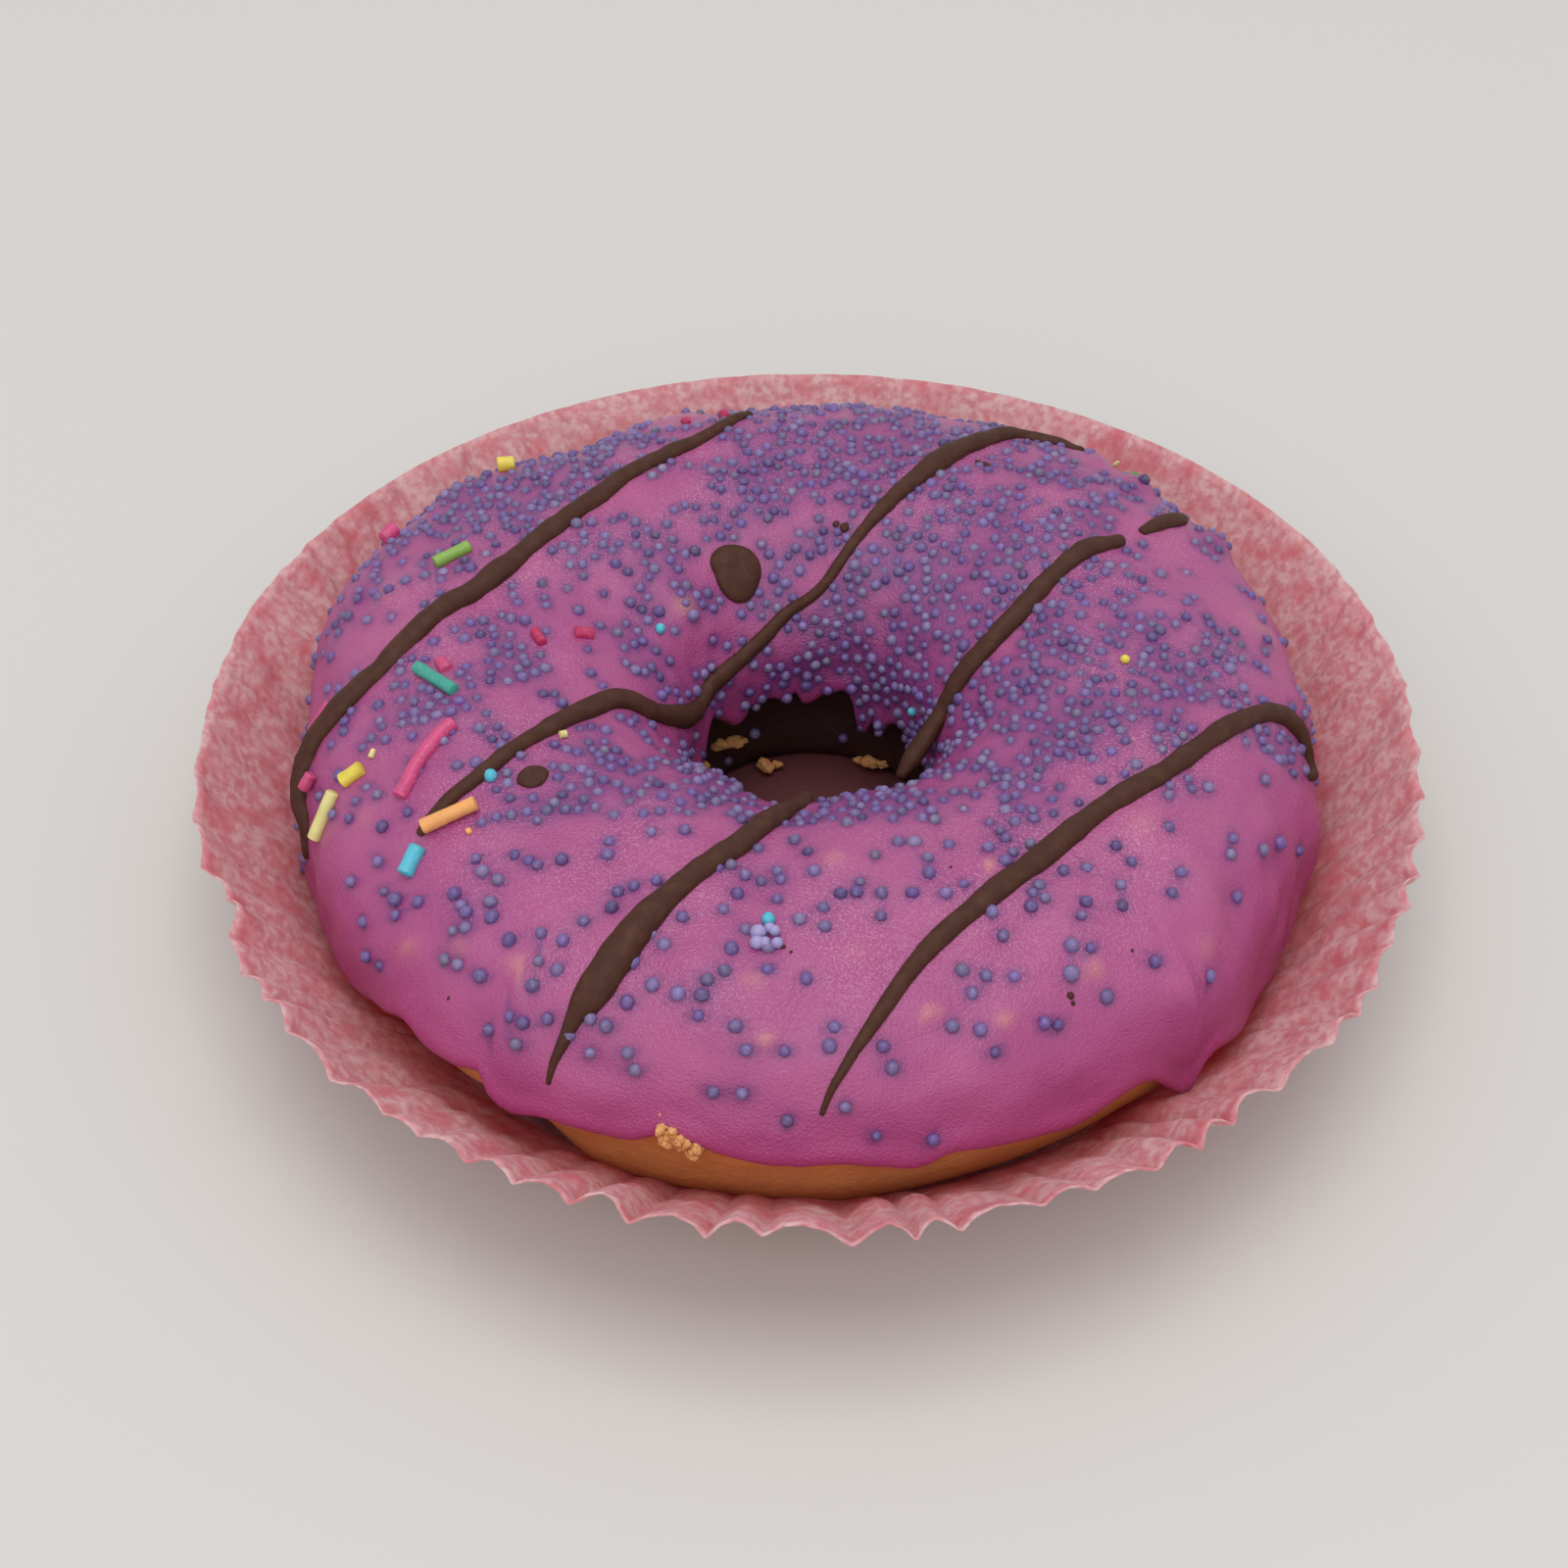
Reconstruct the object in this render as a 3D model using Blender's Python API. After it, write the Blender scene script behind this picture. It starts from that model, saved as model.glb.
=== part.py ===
"""A ring doughnut with pink icing, chocolate drizzle and sprinkles, in its pleated paper case.

Three pieces: paper_case, dough and icing, the icing with its drizzle, sugar pearls and sprinkles fused on.
Metres, +Z up. The origin is the middle of the underside of the paper case, and -Y is the front.
An azimuth turns round +Z from +X. A turn goes round the ring's cross-section: 0 is its outermost point,
90 its top, 180 the wall of the hole and 270 its underside.
"""

import math
import random

import bmesh
import bpy
from mathutils import Vector

MM = 0.001

# The ring of dough
RING_RADIUS = 28.4 * MM
RING_MIDDLE_HEIGHT = 11.5 * MM
DOUGH_HALF_WIDTH = 16.2 * MM
DOUGH_ABOVE_MIDDLE = 11.2 * MM
DOUGH_BELOW_MIDDLE = 12.8 * MM
TOP_ROUNDNESS = 2.15
OUTER_ROUNDNESS = 2.6
INNER_ROUNDNESS = 6.0

# Where the ring stands out or draws in: azimuth, half-width in degrees, and how far
SWELLINGS = (
    (3, 11, -0.7 * MM),
    (46, 22, 2.0 * MM),
    (73, 14, 1.1 * MM),
    (147, 20, 2.8 * MM),
    (168, 10, 0.6 * MM),
    (187, 8, 0.8 * MM),
    (236, 12, 1.3 * MM),
    (316, 7, 0.9 * MM),
    (336, 13, -1.4 * MM),
    (354, 5, -0.7 * MM),
)
# Where its lower side draws in: azimuth, half-width in degrees, and how far
HOLLOWS = (
    (229, 13, 5.0 * MM),
    (300, 22, 0.9 * MM),
)
UNEVEN = 0.35 * MM

# The paper case
PAPER_THICKNESS = 0.3 * MM
FLOOR_RADIUS = 40.5 * MM
WALL_SLANT = 21.8 * MM
WALL_LEAN = 48.0
WALL_CURVE = 1.3
BACK_LEANS_OUT = 11.0
RIGHT_STANDS_UP = 4.0
PLEATS = 72
PLEAT_DEPTH = 1.5 * MM
WALL_ROWS = 2

# Clear space between one piece and the next
CLEARANCE = 0.3 * MM
ICING_CLEARANCE = 0.45 * MM

# The icing
ICING_THICKNESS = 1.0 * MM
EDGE_BEAD = 0.3 * MM
EDGE_BEAD_SPAN = 12.0
ICING_EDGE = (
    (0, -22), (14, -25), (26, -18), (40, -24), (54, -16), (68, -22), (84, -15), (98, -23),
    (112, -16), (128, -24), (144, -17), (158, -20), (172, -18), (186, -24), (200, -20), (212, -13),
    (220, 0), (228, 7), (234, 9), (240, 3), (246, 4), (251, 4), (256, 8), (263, 4), (271, 3),
    (279, -1), (285, 0), (292, -2), (299, -5), (306, -5), (313, -13), (322, -16), (334, -23),
    (347, -20),
)
HOLE_EDGE = (
    (0, 190), (12, 190), (27, 195), (40, 189), (52, 197), (62, 200), (72, 185), (91, 190), (100, 187),
    (115, 187), (130, 192), (149, 182), (165, 190), (185, 193), (215, 189), (250, 194), (285, 188),
    (320, 193),
)

# The chocolate drizzle: width, then the points that it runs through, seen from above, in millimetres.
# Past the ring's edge a point is carried down the side by as much as it lies outside.
STRAND_HEIGHT = 0.9 * MM
STRAND_LIFT = 0.2 * MM
STRANDS = (
    (2.3, ((-45.3, -11), (-46, -6), (-43, -1.9), (-38, 2.6), (-33.2, 7.6), (-27, 14.6), (-20, 23),
           (-14, 29.2), (-9.5, 33.5), (-6, 37))),
    (1.9, ((26.3, 34.5), (20, 36.5), (15.5, 32.3), (8.6, 24.2), (3.6, 17.9), (-0.5, 14), (-5.6, 10.1),
           (-8.9, 7.1), (-12, 0.9), (-15.9, -1.9), (-20.2, -5.4), (-25.9, -11.3), (-29.5, -15.5),
           (-32.8, -18.9))),
    (2.2, ((28.5, 17.2), (24, 14), (19.5, 9.2), (15.4, 4.8), (11.6, 1.5), (9.9, 0.7))),
    (1.8, ((31, 19.3), (33, 22), (35.2, 23.6))),
    (2.2, ((-0.5, -12.5), (-3, -17), (-6, -22), (-10, -26.5), (-14, -31.5), (-18, -36.6), (-20.9, -40.2))),
    (2.1, ((45.4, -6.5), (44, -2.4), (40.4, -3.2), (34, -9), (29, -13.8), (24, -18), (19, -23),
           (14, -28), (9, -33), (4.4, -40), (0.8, -43.9))),
)
STRAND_STEP = 4.0 * MM
STRAND_SIDES = 6

# Spots of chocolate: x, y and width in millimetres
SPOTS = ((-7.0, 15.5, 4.6), (-23.7, -14.5, 2.6))

# Rod sprinkles: from x, y to x, y, in millimetres
ROD_RADIUS = 0.65 * MM
ROD_LIFT = 0.4 * MM
RODS = (
    ((-35.1, 14.3), (-31.5, 16.3)),
    ((-35.0, -0.2), (-31.0, -4.4)),
    ((-40.5, -11.4), (-38.6, -10.8)),
    ((-43.0, -13.8), (-41.0, -11.4)),
    ((-32.7, -19.0), (-27.8, -17.8)),
    ((-32.9, -20.6), (-34.2, -23.2)),
    ((-30.9, -8.8), (-35.0, -15.0)),
)

# The sugar pearls
PEARLS = 120
PEARL_RADIUS = 0.6 * MM
PEARL_LIFT = 0.1 * MM
PEARL_SPACING = 2.2 * MM
PEARL_SEED = 7
# How far they keep from what else lies on the icing, and in degrees of turn from its edges
ROOM_BESIDE_STRAND = 1.9 * MM
ROOM_ROUND_SPOT = 1.2 * MM
ROOM_ROUND_ROD = 2.2 * MM
ROOM_AT_EDGE = 9
# Where they lie thickest: x, y and reach in millimetres, and how thickly
PEARL_PATCHES = (
    (15, 14, 13, 1.0), (-28, 30, 10, 0.8), (2, 36, 14, 0.6), (30, 22, 12, 0.5),
    (-30, -8, 14, 0.45), (-24, -26, 10, 0.4), (-8, 12, 8, 0.3),
)
PEARL_BACKGROUND = 0.18

AROUND = 60
DOUGH_ROWS = 16
ICING_ROWS = 11


def make_material(name, colour, roughness):
    """A material with the piece's own colour and roughness."""
    material = bpy.data.materials.new(name)
    material.use_nodes = True
    shader = material.node_tree.nodes["Principled BSDF"]
    shader.inputs["Base Color"].default_value = (*colour, 1.0)
    shader.inputs["Roughness"].default_value = roughness
    return material


def add_object(name, mesh_data, material):
    """An object in the scene from a bmesh, shaded smooth with its sharp edges kept."""
    mesh = bpy.data.meshes.new(name)
    mesh_data.to_mesh(mesh)
    mesh_data.free()
    mesh.shade_smooth()
    mesh.set_sharp_from_angle(angle=math.radians(40))
    mesh.materials.append(material)
    piece = bpy.data.objects.new(name, mesh)
    bpy.context.collection.objects.link(piece)
    return piece


def read_edge(edge, azimuth):
    """The turn of an icing edge at this azimuth, on a smooth closed curve through its points."""
    count = len(edge)
    after = next((i for i, (place, _) in enumerate(edge) if place > azimuth), count)
    places = [edge[(after + k) % count][0] + 360 * ((after + k) // count) for k in (-2, -1, 0, 1)]
    turns = [edge[(after + k) % count][1] for k in (-2, -1, 0, 1)]
    share = (azimuth - places[1]) / (places[2] - places[1])
    slope_before = (turns[2] - turns[0]) / (places[2] - places[0]) * (places[2] - places[1])
    slope_after = (turns[3] - turns[1]) / (places[3] - places[1]) * (places[2] - places[1])
    square, cube = share**2, share**3
    return (
        (2 * cube - 3 * square + 1) * turns[1]
        + (cube - 2 * square + share) * slope_before
        + (3 * square - 2 * cube) * turns[2]
        + (cube - square) * slope_after
    )


def swelling(azimuth):
    """How far the outer side of the ring stands out at this azimuth."""
    total = 0.0
    for centre, reach, height in SWELLINGS:
        apart = (azimuth - centre + 180) % 360 - 180
        total += height * math.exp(-((apart / reach) ** 4))
    return total


def hollow(azimuth):
    """How far the lower side of the ring draws in at this azimuth."""
    total = 0.0
    for centre, reach, depth in HOLLOWS:
        apart = (azimuth - centre + 180) % 360 - 180
        total += depth * math.exp(-((apart / reach) ** 4))
    return total


def unevenness(azimuth, turn):
    """The gentle lumps of the ring, fading towards its flat underside."""
    a, t = math.radians(azimuth), math.radians(turn)
    waves = math.sin(3 * a + 1.1) * math.cos(t - 0.4) + math.sin(7 * a + 2 * t) + math.sin(5 * a - 3 * t + 2)
    return UNEVEN * waves / 2 * min(max(math.sin(t) + 0.5, 0.0), 1.0)


def ring_point(azimuth, turn, grow):
    """A point of the ring's surface, made `grow` larger all round than the bare dough."""
    a, t = math.radians(azimuth), math.radians(turn)
    across, rise = math.cos(t), math.sin(t)
    grow += unevenness(azimuth, turn)
    half_height = DOUGH_ABOVE_MIDDLE if rise >= 0 else DOUGH_BELOW_MIDDLE
    roundness = TOP_ROUNDNESS if rise >= 0 else OUTER_ROUNDNESS if across > 0 else INNER_ROUNDNESS
    reach = (abs(across) ** roundness + abs(rise) ** roundness) ** (-1 / roundness)
    outside = max(across, 0.0)
    outward = (DOUGH_HALF_WIDTH + grow) * reach * across
    outward += swelling(azimuth) * outside**2 * (3 - 2 * outside) * (1 + min(rise, 0.0))
    below_middle = min(max(-1.8 * rise, 0.0), 1.0)
    outward -= hollow(azimuth) * below_middle * min(2 * outside, 1.0)
    radius = RING_RADIUS + outward
    height = RING_MIDDLE_HEIGHT + (half_height + grow) * reach * rise
    return Vector((radius * math.cos(a), radius * math.sin(a), height))


def ring_normal(azimuth, turn, grow):
    """The outward direction of that surface."""
    along = ring_point(azimuth + 0.5, turn, grow) - ring_point(azimuth - 0.5, turn, grow)
    over = ring_point(azimuth, turn + 0.5, grow) - ring_point(azimuth, turn - 0.5, grow)
    return along.cross(over).normalized()


def place_from_above(x, y, grow):
    """The azimuth and turn of the surface under a point seen from above, or down the side past the edge."""
    azimuth = math.degrees(math.atan2(y, x)) % 360
    outward = math.hypot(x, y) - RING_RADIUS
    half_width = DOUGH_HALF_WIDTH + grow + (swelling(azimuth) if outward > 0 else 0.0)
    share = outward / half_width
    if abs(share) < 1:
        rise = (1 - abs(share) ** TOP_ROUNDNESS) ** (1 / TOP_ROUNDNESS)
        return azimuth, math.degrees(math.atan2(rise, share))
    drop = min((abs(share) - 1) * half_width / DOUGH_BELOW_MIDDLE, 0.9)
    return azimuth, math.degrees(math.atan2(-drop, math.copysign(1.0, share)))


def add_grid(mesh_data, rows, closed):
    """Faces between rows of vertices that each run once round the ring."""
    pairs = list(zip(rows, rows[1:]))
    if closed:
        pairs.append((rows[-1], rows[0]))
    for lower, upper in pairs:
        for i in range(len(lower)):
            j = (i + 1) % len(lower)
            mesh_data.faces.new((lower[i], lower[j], upper[j], upper[i]))


def make_dough(material):
    """The ring of dough, flat where it rests in the case."""
    mesh_data = bmesh.new()
    base = PAPER_THICKNESS + CLEARANCE
    rows = []
    for row in range(DOUGH_ROWS):
        turn = 360 * row / DOUGH_ROWS
        ring = []
        for i in range(AROUND):
            point = ring_point(360 * i / AROUND, turn, 0.0)
            point.z = max(point.z, base)
            ring.append(mesh_data.verts.new(point))
        rows.append(ring)
    add_grid(mesh_data, rows, closed=True)
    bmesh.ops.recalc_face_normals(mesh_data, faces=mesh_data.faces)
    return add_object("dough", mesh_data, material)


def icing_thickness(from_edge):
    """The thickness this many degrees of turn from the icing's edge, rolled over into a soft bead there."""
    rounding = min(0.45 + from_edge / 4.5, 1.0)
    bead = EDGE_BEAD * math.exp(-((from_edge / EDGE_BEAD_SPAN) ** 2))
    return (ICING_THICKNESS + bead) * rounding


def make_icing_shell(material):
    """The icing as a shell over the ring, from its scalloped lower edge to its edge in the hole."""
    mesh_data = bmesh.new()
    edge_steps = (0.0, 2.5)
    inset = 7.0
    outer, inner = [], []
    for i in range(AROUND):
        azimuth = 360 * i / AROUND
        low, high = read_edge(ICING_EDGE, azimuth), read_edge(HOLE_EDGE, azimuth)
        turns = [low + step for step in edge_steps]
        turns += [low + inset + (high - low - 2 * inset) * k / ICING_ROWS for k in range(ICING_ROWS + 1)]
        turns += [high - step for step in reversed(edge_steps)]
        heights = [ICING_CLEARANCE + icing_thickness(min(turn - low, high - turn)) for turn in turns]
        outer.append([
            mesh_data.verts.new(ring_point(azimuth, turn, height)) for turn, height in zip(turns, heights)
        ])
        inner.append([
            mesh_data.verts.new(ring_point(azimuth, low + (high - low) * k / ICING_ROWS, ICING_CLEARANCE))
            for k in range(ICING_ROWS + 1)
        ])
    rows = [list(row) for row in zip(*outer)] + [list(row) for row in reversed(list(zip(*inner)))]
    add_grid(mesh_data, rows, closed=True)
    bmesh.ops.recalc_face_normals(mesh_data, faces=mesh_data.faces)
    return add_object("icing", mesh_data, material)


def smooth_route(points, step):
    """Points at about this spacing along a smooth curve through the given ones."""
    ends = [points[0] * 2 - points[1], *points, points[-1] * 2 - points[-2]]
    dense = []
    for before, start, end, after in zip(ends, ends[1:], ends[2:], ends[3:]):
        for k in range(12):
            s = k / 12
            dense.append(
                0.5 * (2 * start + (end - before) * s + (2 * before - 5 * start + 4 * end - after) * s**2
                       + (3 * start - before - 3 * end + after) * s**3)
            )
    dense.append(points[-1])
    lengths = [0.0]
    for start, end in zip(dense, dense[1:]):
        lengths.append(lengths[-1] + (end - start).length)
    count = max(round(lengths[-1] / step), 2)
    route = []
    for k in range(count + 1):
        wanted = lengths[-1] * k / count
        after = next((i for i, length in enumerate(lengths) if length >= wanted - 1e-9), len(lengths) - 1)
        before = max(after - 1, 0)
        gap = lengths[after] - lengths[before]
        route.append(dense[before].lerp(dense[after], (wanted - lengths[before]) / gap if gap else 0.0))
    return route


def strand_routes():
    """Each strand's width and its route seen from above, in metres."""
    return [
        (width * MM, smooth_route([Vector((x * MM, y * MM)) for x, y in points], STRAND_STEP))
        for width, points in STRANDS
    ]


def make_strand(name, width, route, material):
    """One strand of chocolate: a flattened tube along its route over the icing, narrow at both ends."""
    grow = ICING_CLEARANCE + ICING_THICKNESS
    mesh_data = bmesh.new()
    places = [place_from_above(point.x, point.y, grow) for point in route]
    points = [ring_point(*place, grow) for place in places]
    rings = []
    for i, (place, point) in enumerate(zip(places, points)):
        normal = ring_normal(*place, grow)
        along = (points[min(i + 1, len(points) - 1)] - points[max(i - 1, 0)]).normalized()
        sideways = normal.cross(along).normalized()
        narrowing = 0.55 if i in (0, len(points) - 1) else 1.0
        rings.append([
            mesh_data.verts.new(
                point
                + sideways * (math.cos(math.tau * k / STRAND_SIDES) * width / 2 * narrowing)
                + normal * (STRAND_LIFT + math.sin(math.tau * k / STRAND_SIDES) * STRAND_HEIGHT * narrowing)
            )
            for k in range(STRAND_SIDES)
        ])
    for first, second in zip(rings, rings[1:]):
        for k in range(STRAND_SIDES):
            j = (k + 1) % STRAND_SIDES
            mesh_data.faces.new((first[k], first[j], second[j], second[k]))
    mesh_data.faces.new(rings[0])
    mesh_data.faces.new(reversed(rings[-1]))
    bmesh.ops.recalc_face_normals(mesh_data, faces=mesh_data.faces)
    return add_object(name, mesh_data, material)


def set_on_icing(mesh_data, x, y, lift):
    """Turns and moves a small shape, made at the origin with +Z up, so that it sits on the icing at x, y."""
    grow = ICING_CLEARANCE + ICING_THICKNESS
    place = place_from_above(x, y, grow)
    normal = ring_normal(*place, grow)
    turned = normal.to_track_quat("Z", "Y").to_matrix().to_4x4()
    bmesh.ops.transform(mesh_data, matrix=turned, verts=mesh_data.verts)
    bmesh.ops.translate(mesh_data, vec=ring_point(*place, grow) + normal * lift, verts=mesh_data.verts)


def make_spot(name, x, y, width, material):
    """A domed spot of chocolate."""
    mesh_data = bmesh.new()
    bmesh.ops.create_uvsphere(mesh_data, u_segments=10, v_segments=6, radius=width * MM / 2)
    bmesh.ops.scale(mesh_data, vec=(1.0, 1.0, 0.4), verts=mesh_data.verts)
    set_on_icing(mesh_data, x * MM, y * MM, STRAND_LIFT)
    return add_object(name, mesh_data, material)


def make_rod(name, start, end, material):
    """A rod sprinkle lying on the icing between two points seen from above."""
    grow = ICING_CLEARANCE + ICING_THICKNESS
    places = [place_from_above(x * MM, y * MM, grow) for x, y in (start, end)]
    ends = [ring_point(*place, grow) + ring_normal(*place, grow) * ROD_LIFT for place in places]
    axis = ends[1] - ends[0]
    mesh_data = bmesh.new()
    bmesh.ops.create_cone(
        mesh_data, cap_ends=True, segments=6, radius1=ROD_RADIUS, radius2=ROD_RADIUS, depth=axis.length
    )
    turned = axis.to_track_quat("Z", "Y").to_matrix().to_4x4()
    bmesh.ops.transform(mesh_data, matrix=turned, verts=mesh_data.verts)
    bmesh.ops.translate(mesh_data, vec=(ends[0] + ends[1]) / 2, verts=mesh_data.verts)
    return add_object(name, mesh_data, material)


def pearl_density(x, y):
    """How thickly the pearls lie at a point seen from above, between 0 and 1."""
    total = PEARL_BACKGROUND
    for centre_x, centre_y, reach, amount in PEARL_PATCHES:
        apart = math.hypot(x / MM - centre_x, y / MM - centre_y) / reach
        total += amount * math.exp(-(apart**2))
    return min(total, 1.0)


def pearl_places():
    """Azimuth and turn of each pearl: thick and thin as on the real icing, clear of what else lies on it."""
    grow = ICING_CLEARANCE + ICING_THICKNESS
    draw = random.Random(PEARL_SEED)
    laid = []
    for width, route in strand_routes():
        for point in route:
            room = ROOM_BESIDE_STRAND + width / 2
            laid.append((ring_point(*place_from_above(point.x, point.y, grow), grow), room))
    for x, y, width in SPOTS:
        room = ROOM_ROUND_SPOT + width * MM / 2
        laid.append((ring_point(*place_from_above(x * MM, y * MM, grow), grow), room))
    for start, end in RODS:
        for share in (0.0, 0.33, 0.67, 1.0):
            x, y = (s + (e - s) * share for s, e in zip(start, end))
            laid.append((ring_point(*place_from_above(x * MM, y * MM, grow), grow), ROOM_ROUND_ROD))
    places = []
    while len(places) < PEARLS:
        azimuth, turn, chance = draw.uniform(0, 360), draw.uniform(-20, 190), draw.random()
        point = ring_point(azimuth, turn, grow)
        wide = math.hypot(point.x, point.y) / (RING_RADIUS + DOUGH_HALF_WIDTH)
        lowest = read_edge(ICING_EDGE, azimuth) + ROOM_AT_EDGE
        edges_clear = lowest < turn < read_edge(HOLE_EDGE, azimuth) - ROOM_AT_EDGE
        if not edges_clear or chance > wide * pearl_density(point.x, point.y):
            continue
        if all((point - other).length > spacing for other, spacing in laid):
            laid.append((point, PEARL_SPACING))
            places.append((azimuth, turn))
    return places


def make_pearl(name, azimuth, turn, material):
    """One sugar pearl, part sunk in the icing."""
    grow = ICING_CLEARANCE + ICING_THICKNESS
    mesh_data = bmesh.new()
    bmesh.ops.create_icosphere(mesh_data, subdivisions=1, radius=PEARL_RADIUS)
    centre = ring_point(azimuth, turn, grow) + ring_normal(azimuth, turn, grow) * PEARL_LIFT
    bmesh.ops.translate(mesh_data, vec=centre, verts=mesh_data.verts)
    return add_object(name, mesh_data, material)


def drop_scraps(piece):
    """Keeps the one outer body of a joined piece, without specks and sealed hollows."""
    mesh_data = bmesh.new()
    mesh_data.from_mesh(piece.data)
    unseen = set(mesh_data.faces)
    bodies = []
    while unseen:
        body, waiting = set(), [unseen.pop()]
        while waiting:
            face = waiting.pop()
            body.add(face)
            for edge in face.edges:
                for neighbour in edge.link_faces:
                    if neighbour in unseen:
                        unseen.remove(neighbour)
                        waiting.append(neighbour)
        bodies.append(body)
    bodies.sort(key=len)
    scraps = [face for body in bodies[:-1] for face in body]
    bmesh.ops.delete(mesh_data, geom=scraps, context="FACES")
    mesh_data.to_mesh(piece.data)
    mesh_data.free()


def fuse(piece, toppings):
    """Joins the toppings to a piece with one union."""
    gathered = bpy.data.collections.new("toppings")
    bpy.context.scene.collection.children.link(gathered)
    for topping in toppings:
        bpy.context.collection.objects.unlink(topping)
        gathered.objects.link(topping)
    union = piece.modifiers.new("toppings", "BOOLEAN")
    union.operation = "UNION"
    union.operand_type = "COLLECTION"
    union.collection = gathered
    union.solver = "EXACT"
    bpy.context.view_layer.objects.active = piece
    bpy.ops.object.modifier_apply(modifier=union.name)
    for topping in toppings:
        bpy.data.objects.remove(topping)
    bpy.data.collections.remove(gathered)
    drop_scraps(piece)


def make_icing(icing_material, chocolate_material, sprinkle_material):
    """The icing with its drizzle, spots, rods and pearls as one piece."""
    icing = make_icing_shell(icing_material)
    toppings = [
        make_strand(f"strand_{i}", width, route, chocolate_material)
        for i, (width, route) in enumerate(strand_routes())
    ]
    toppings += [make_spot(f"spot_{i}", *spot, chocolate_material) for i, spot in enumerate(SPOTS)]
    toppings += [make_rod(f"rod_{i}", start, end, sprinkle_material) for i, (start, end) in enumerate(RODS)]
    toppings += [
        make_pearl(f"pearl_{i}", azimuth, turn, sprinkle_material)
        for i, (azimuth, turn) in enumerate(pearl_places())
    ]
    fuse(icing, toppings)
    return icing


def rim_place(azimuth):
    """How far out and how high the rim of the paper case stands at this azimuth."""
    lean = WALL_LEAN - BACK_LEANS_OUT * max(math.sin(math.radians(azimuth)), 0.0)
    apart = (azimuth + 180) % 360 - 180
    lean += RIGHT_STANDS_UP * math.exp(-((apart / 30) ** 2))
    return WALL_SLANT * math.cos(math.radians(lean)), WALL_SLANT * math.sin(math.radians(lean))


def paper_point(azimuth, share, fold, lift):
    """A point of the case's wall, by its share of the way up, its fold off the wall and its lift."""
    out, up = rim_place(azimuth)
    slope = math.atan2(up * WALL_CURVE * max(share, 0.01) ** (WALL_CURVE - 1), out)
    radius = FLOOR_RADIUS + out * share + fold * math.sin(slope)
    height = (up - PAPER_THICKNESS) * share**WALL_CURVE - fold * math.cos(slope) + lift
    a = math.radians(azimuth)
    return Vector((radius * math.cos(a), radius * math.sin(a), height))


def make_paper_case(material):
    """The paper case: a flat floor and a flared wall whose pleats deepen from nothing to the rim."""
    mesh_data = bmesh.new()
    columns = 2 * PLEATS
    upper, lower = [], []
    for row in range(WALL_ROWS + 1):
        share = row / WALL_ROWS
        for rings, lift in ((upper, PAPER_THICKNESS), (lower, 0.0)):
            rings.append([
                mesh_data.verts.new(
                    paper_point(360 * i / columns, share, PLEAT_DEPTH / 2 * share * (-1) ** i, lift)
                )
                for i in range(columns)
            ])
    add_grid(mesh_data, upper, closed=False)
    add_grid(mesh_data, lower, closed=False)
    add_grid(mesh_data, [lower[-1], upper[-1]], closed=False)
    mesh_data.faces.new(upper[0])
    mesh_data.faces.new(lower[0])
    bmesh.ops.recalc_face_normals(mesh_data, faces=mesh_data.faces)
    return add_object("paper_case", mesh_data, material)


def main():
    for piece in list(bpy.data.objects):
        bpy.data.objects.remove(piece)
    paper_material = make_material("case_paper", (0.60, 0.22, 0.26), 0.6)
    dough_material = make_material("golden_dough", (0.58, 0.26, 0.08), 0.7)
    icing_material = make_material("pink_icing", (0.42, 0.07, 0.24), 0.35)
    chocolate_material = make_material("dark_chocolate", (0.045, 0.02, 0.012), 0.4)
    sprinkle_material = make_material("blue_violet_sugar", (0.16, 0.11, 0.40), 0.4)
    make_paper_case(paper_material)
    make_dough(dough_material)
    make_icing(icing_material, chocolate_material, sprinkle_material)


main()
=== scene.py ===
import math

import bpy
import numpy as np
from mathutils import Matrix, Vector, kdtree


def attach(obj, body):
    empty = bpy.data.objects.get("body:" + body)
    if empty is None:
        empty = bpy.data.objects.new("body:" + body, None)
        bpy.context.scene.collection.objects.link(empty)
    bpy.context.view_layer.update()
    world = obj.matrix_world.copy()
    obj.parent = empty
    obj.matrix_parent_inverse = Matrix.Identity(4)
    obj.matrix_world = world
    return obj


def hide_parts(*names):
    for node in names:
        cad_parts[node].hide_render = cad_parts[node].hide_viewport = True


bl_info = {
    "name": "Iced ring doughnut",
    "version": (1, 0, 0),
    "blender": (4, 5, 0),
    "location": "3D View > Sidebar > Doughnut",
    "description": "Builds an iced ring doughnut with drizzle and sugar sprinkles in its paper case",
    "category": "Add Mesh",
}

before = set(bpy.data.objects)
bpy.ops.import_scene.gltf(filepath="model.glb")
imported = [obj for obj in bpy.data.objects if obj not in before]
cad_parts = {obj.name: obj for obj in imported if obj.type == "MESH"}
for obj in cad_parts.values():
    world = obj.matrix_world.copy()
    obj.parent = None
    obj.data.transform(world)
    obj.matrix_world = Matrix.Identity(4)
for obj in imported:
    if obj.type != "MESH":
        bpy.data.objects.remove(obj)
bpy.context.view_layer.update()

MM = 0.001
# The icing's surface over the dough in millimetres, and how many of them one degree of turn is.
ICING_TOP = 1.4
DEGREE_MM = 0.27
# Roundness of the ring's section above its widest part, below it outside, and below it in the hole.
ROUNDNESS = (2.15, 2.9, 6.0)
# Scattered pearls: how many places are tried, and the least distance between two in millimetres.
PEARL_TRIES = 90000
PEARL_SPACING = 0.98

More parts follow.
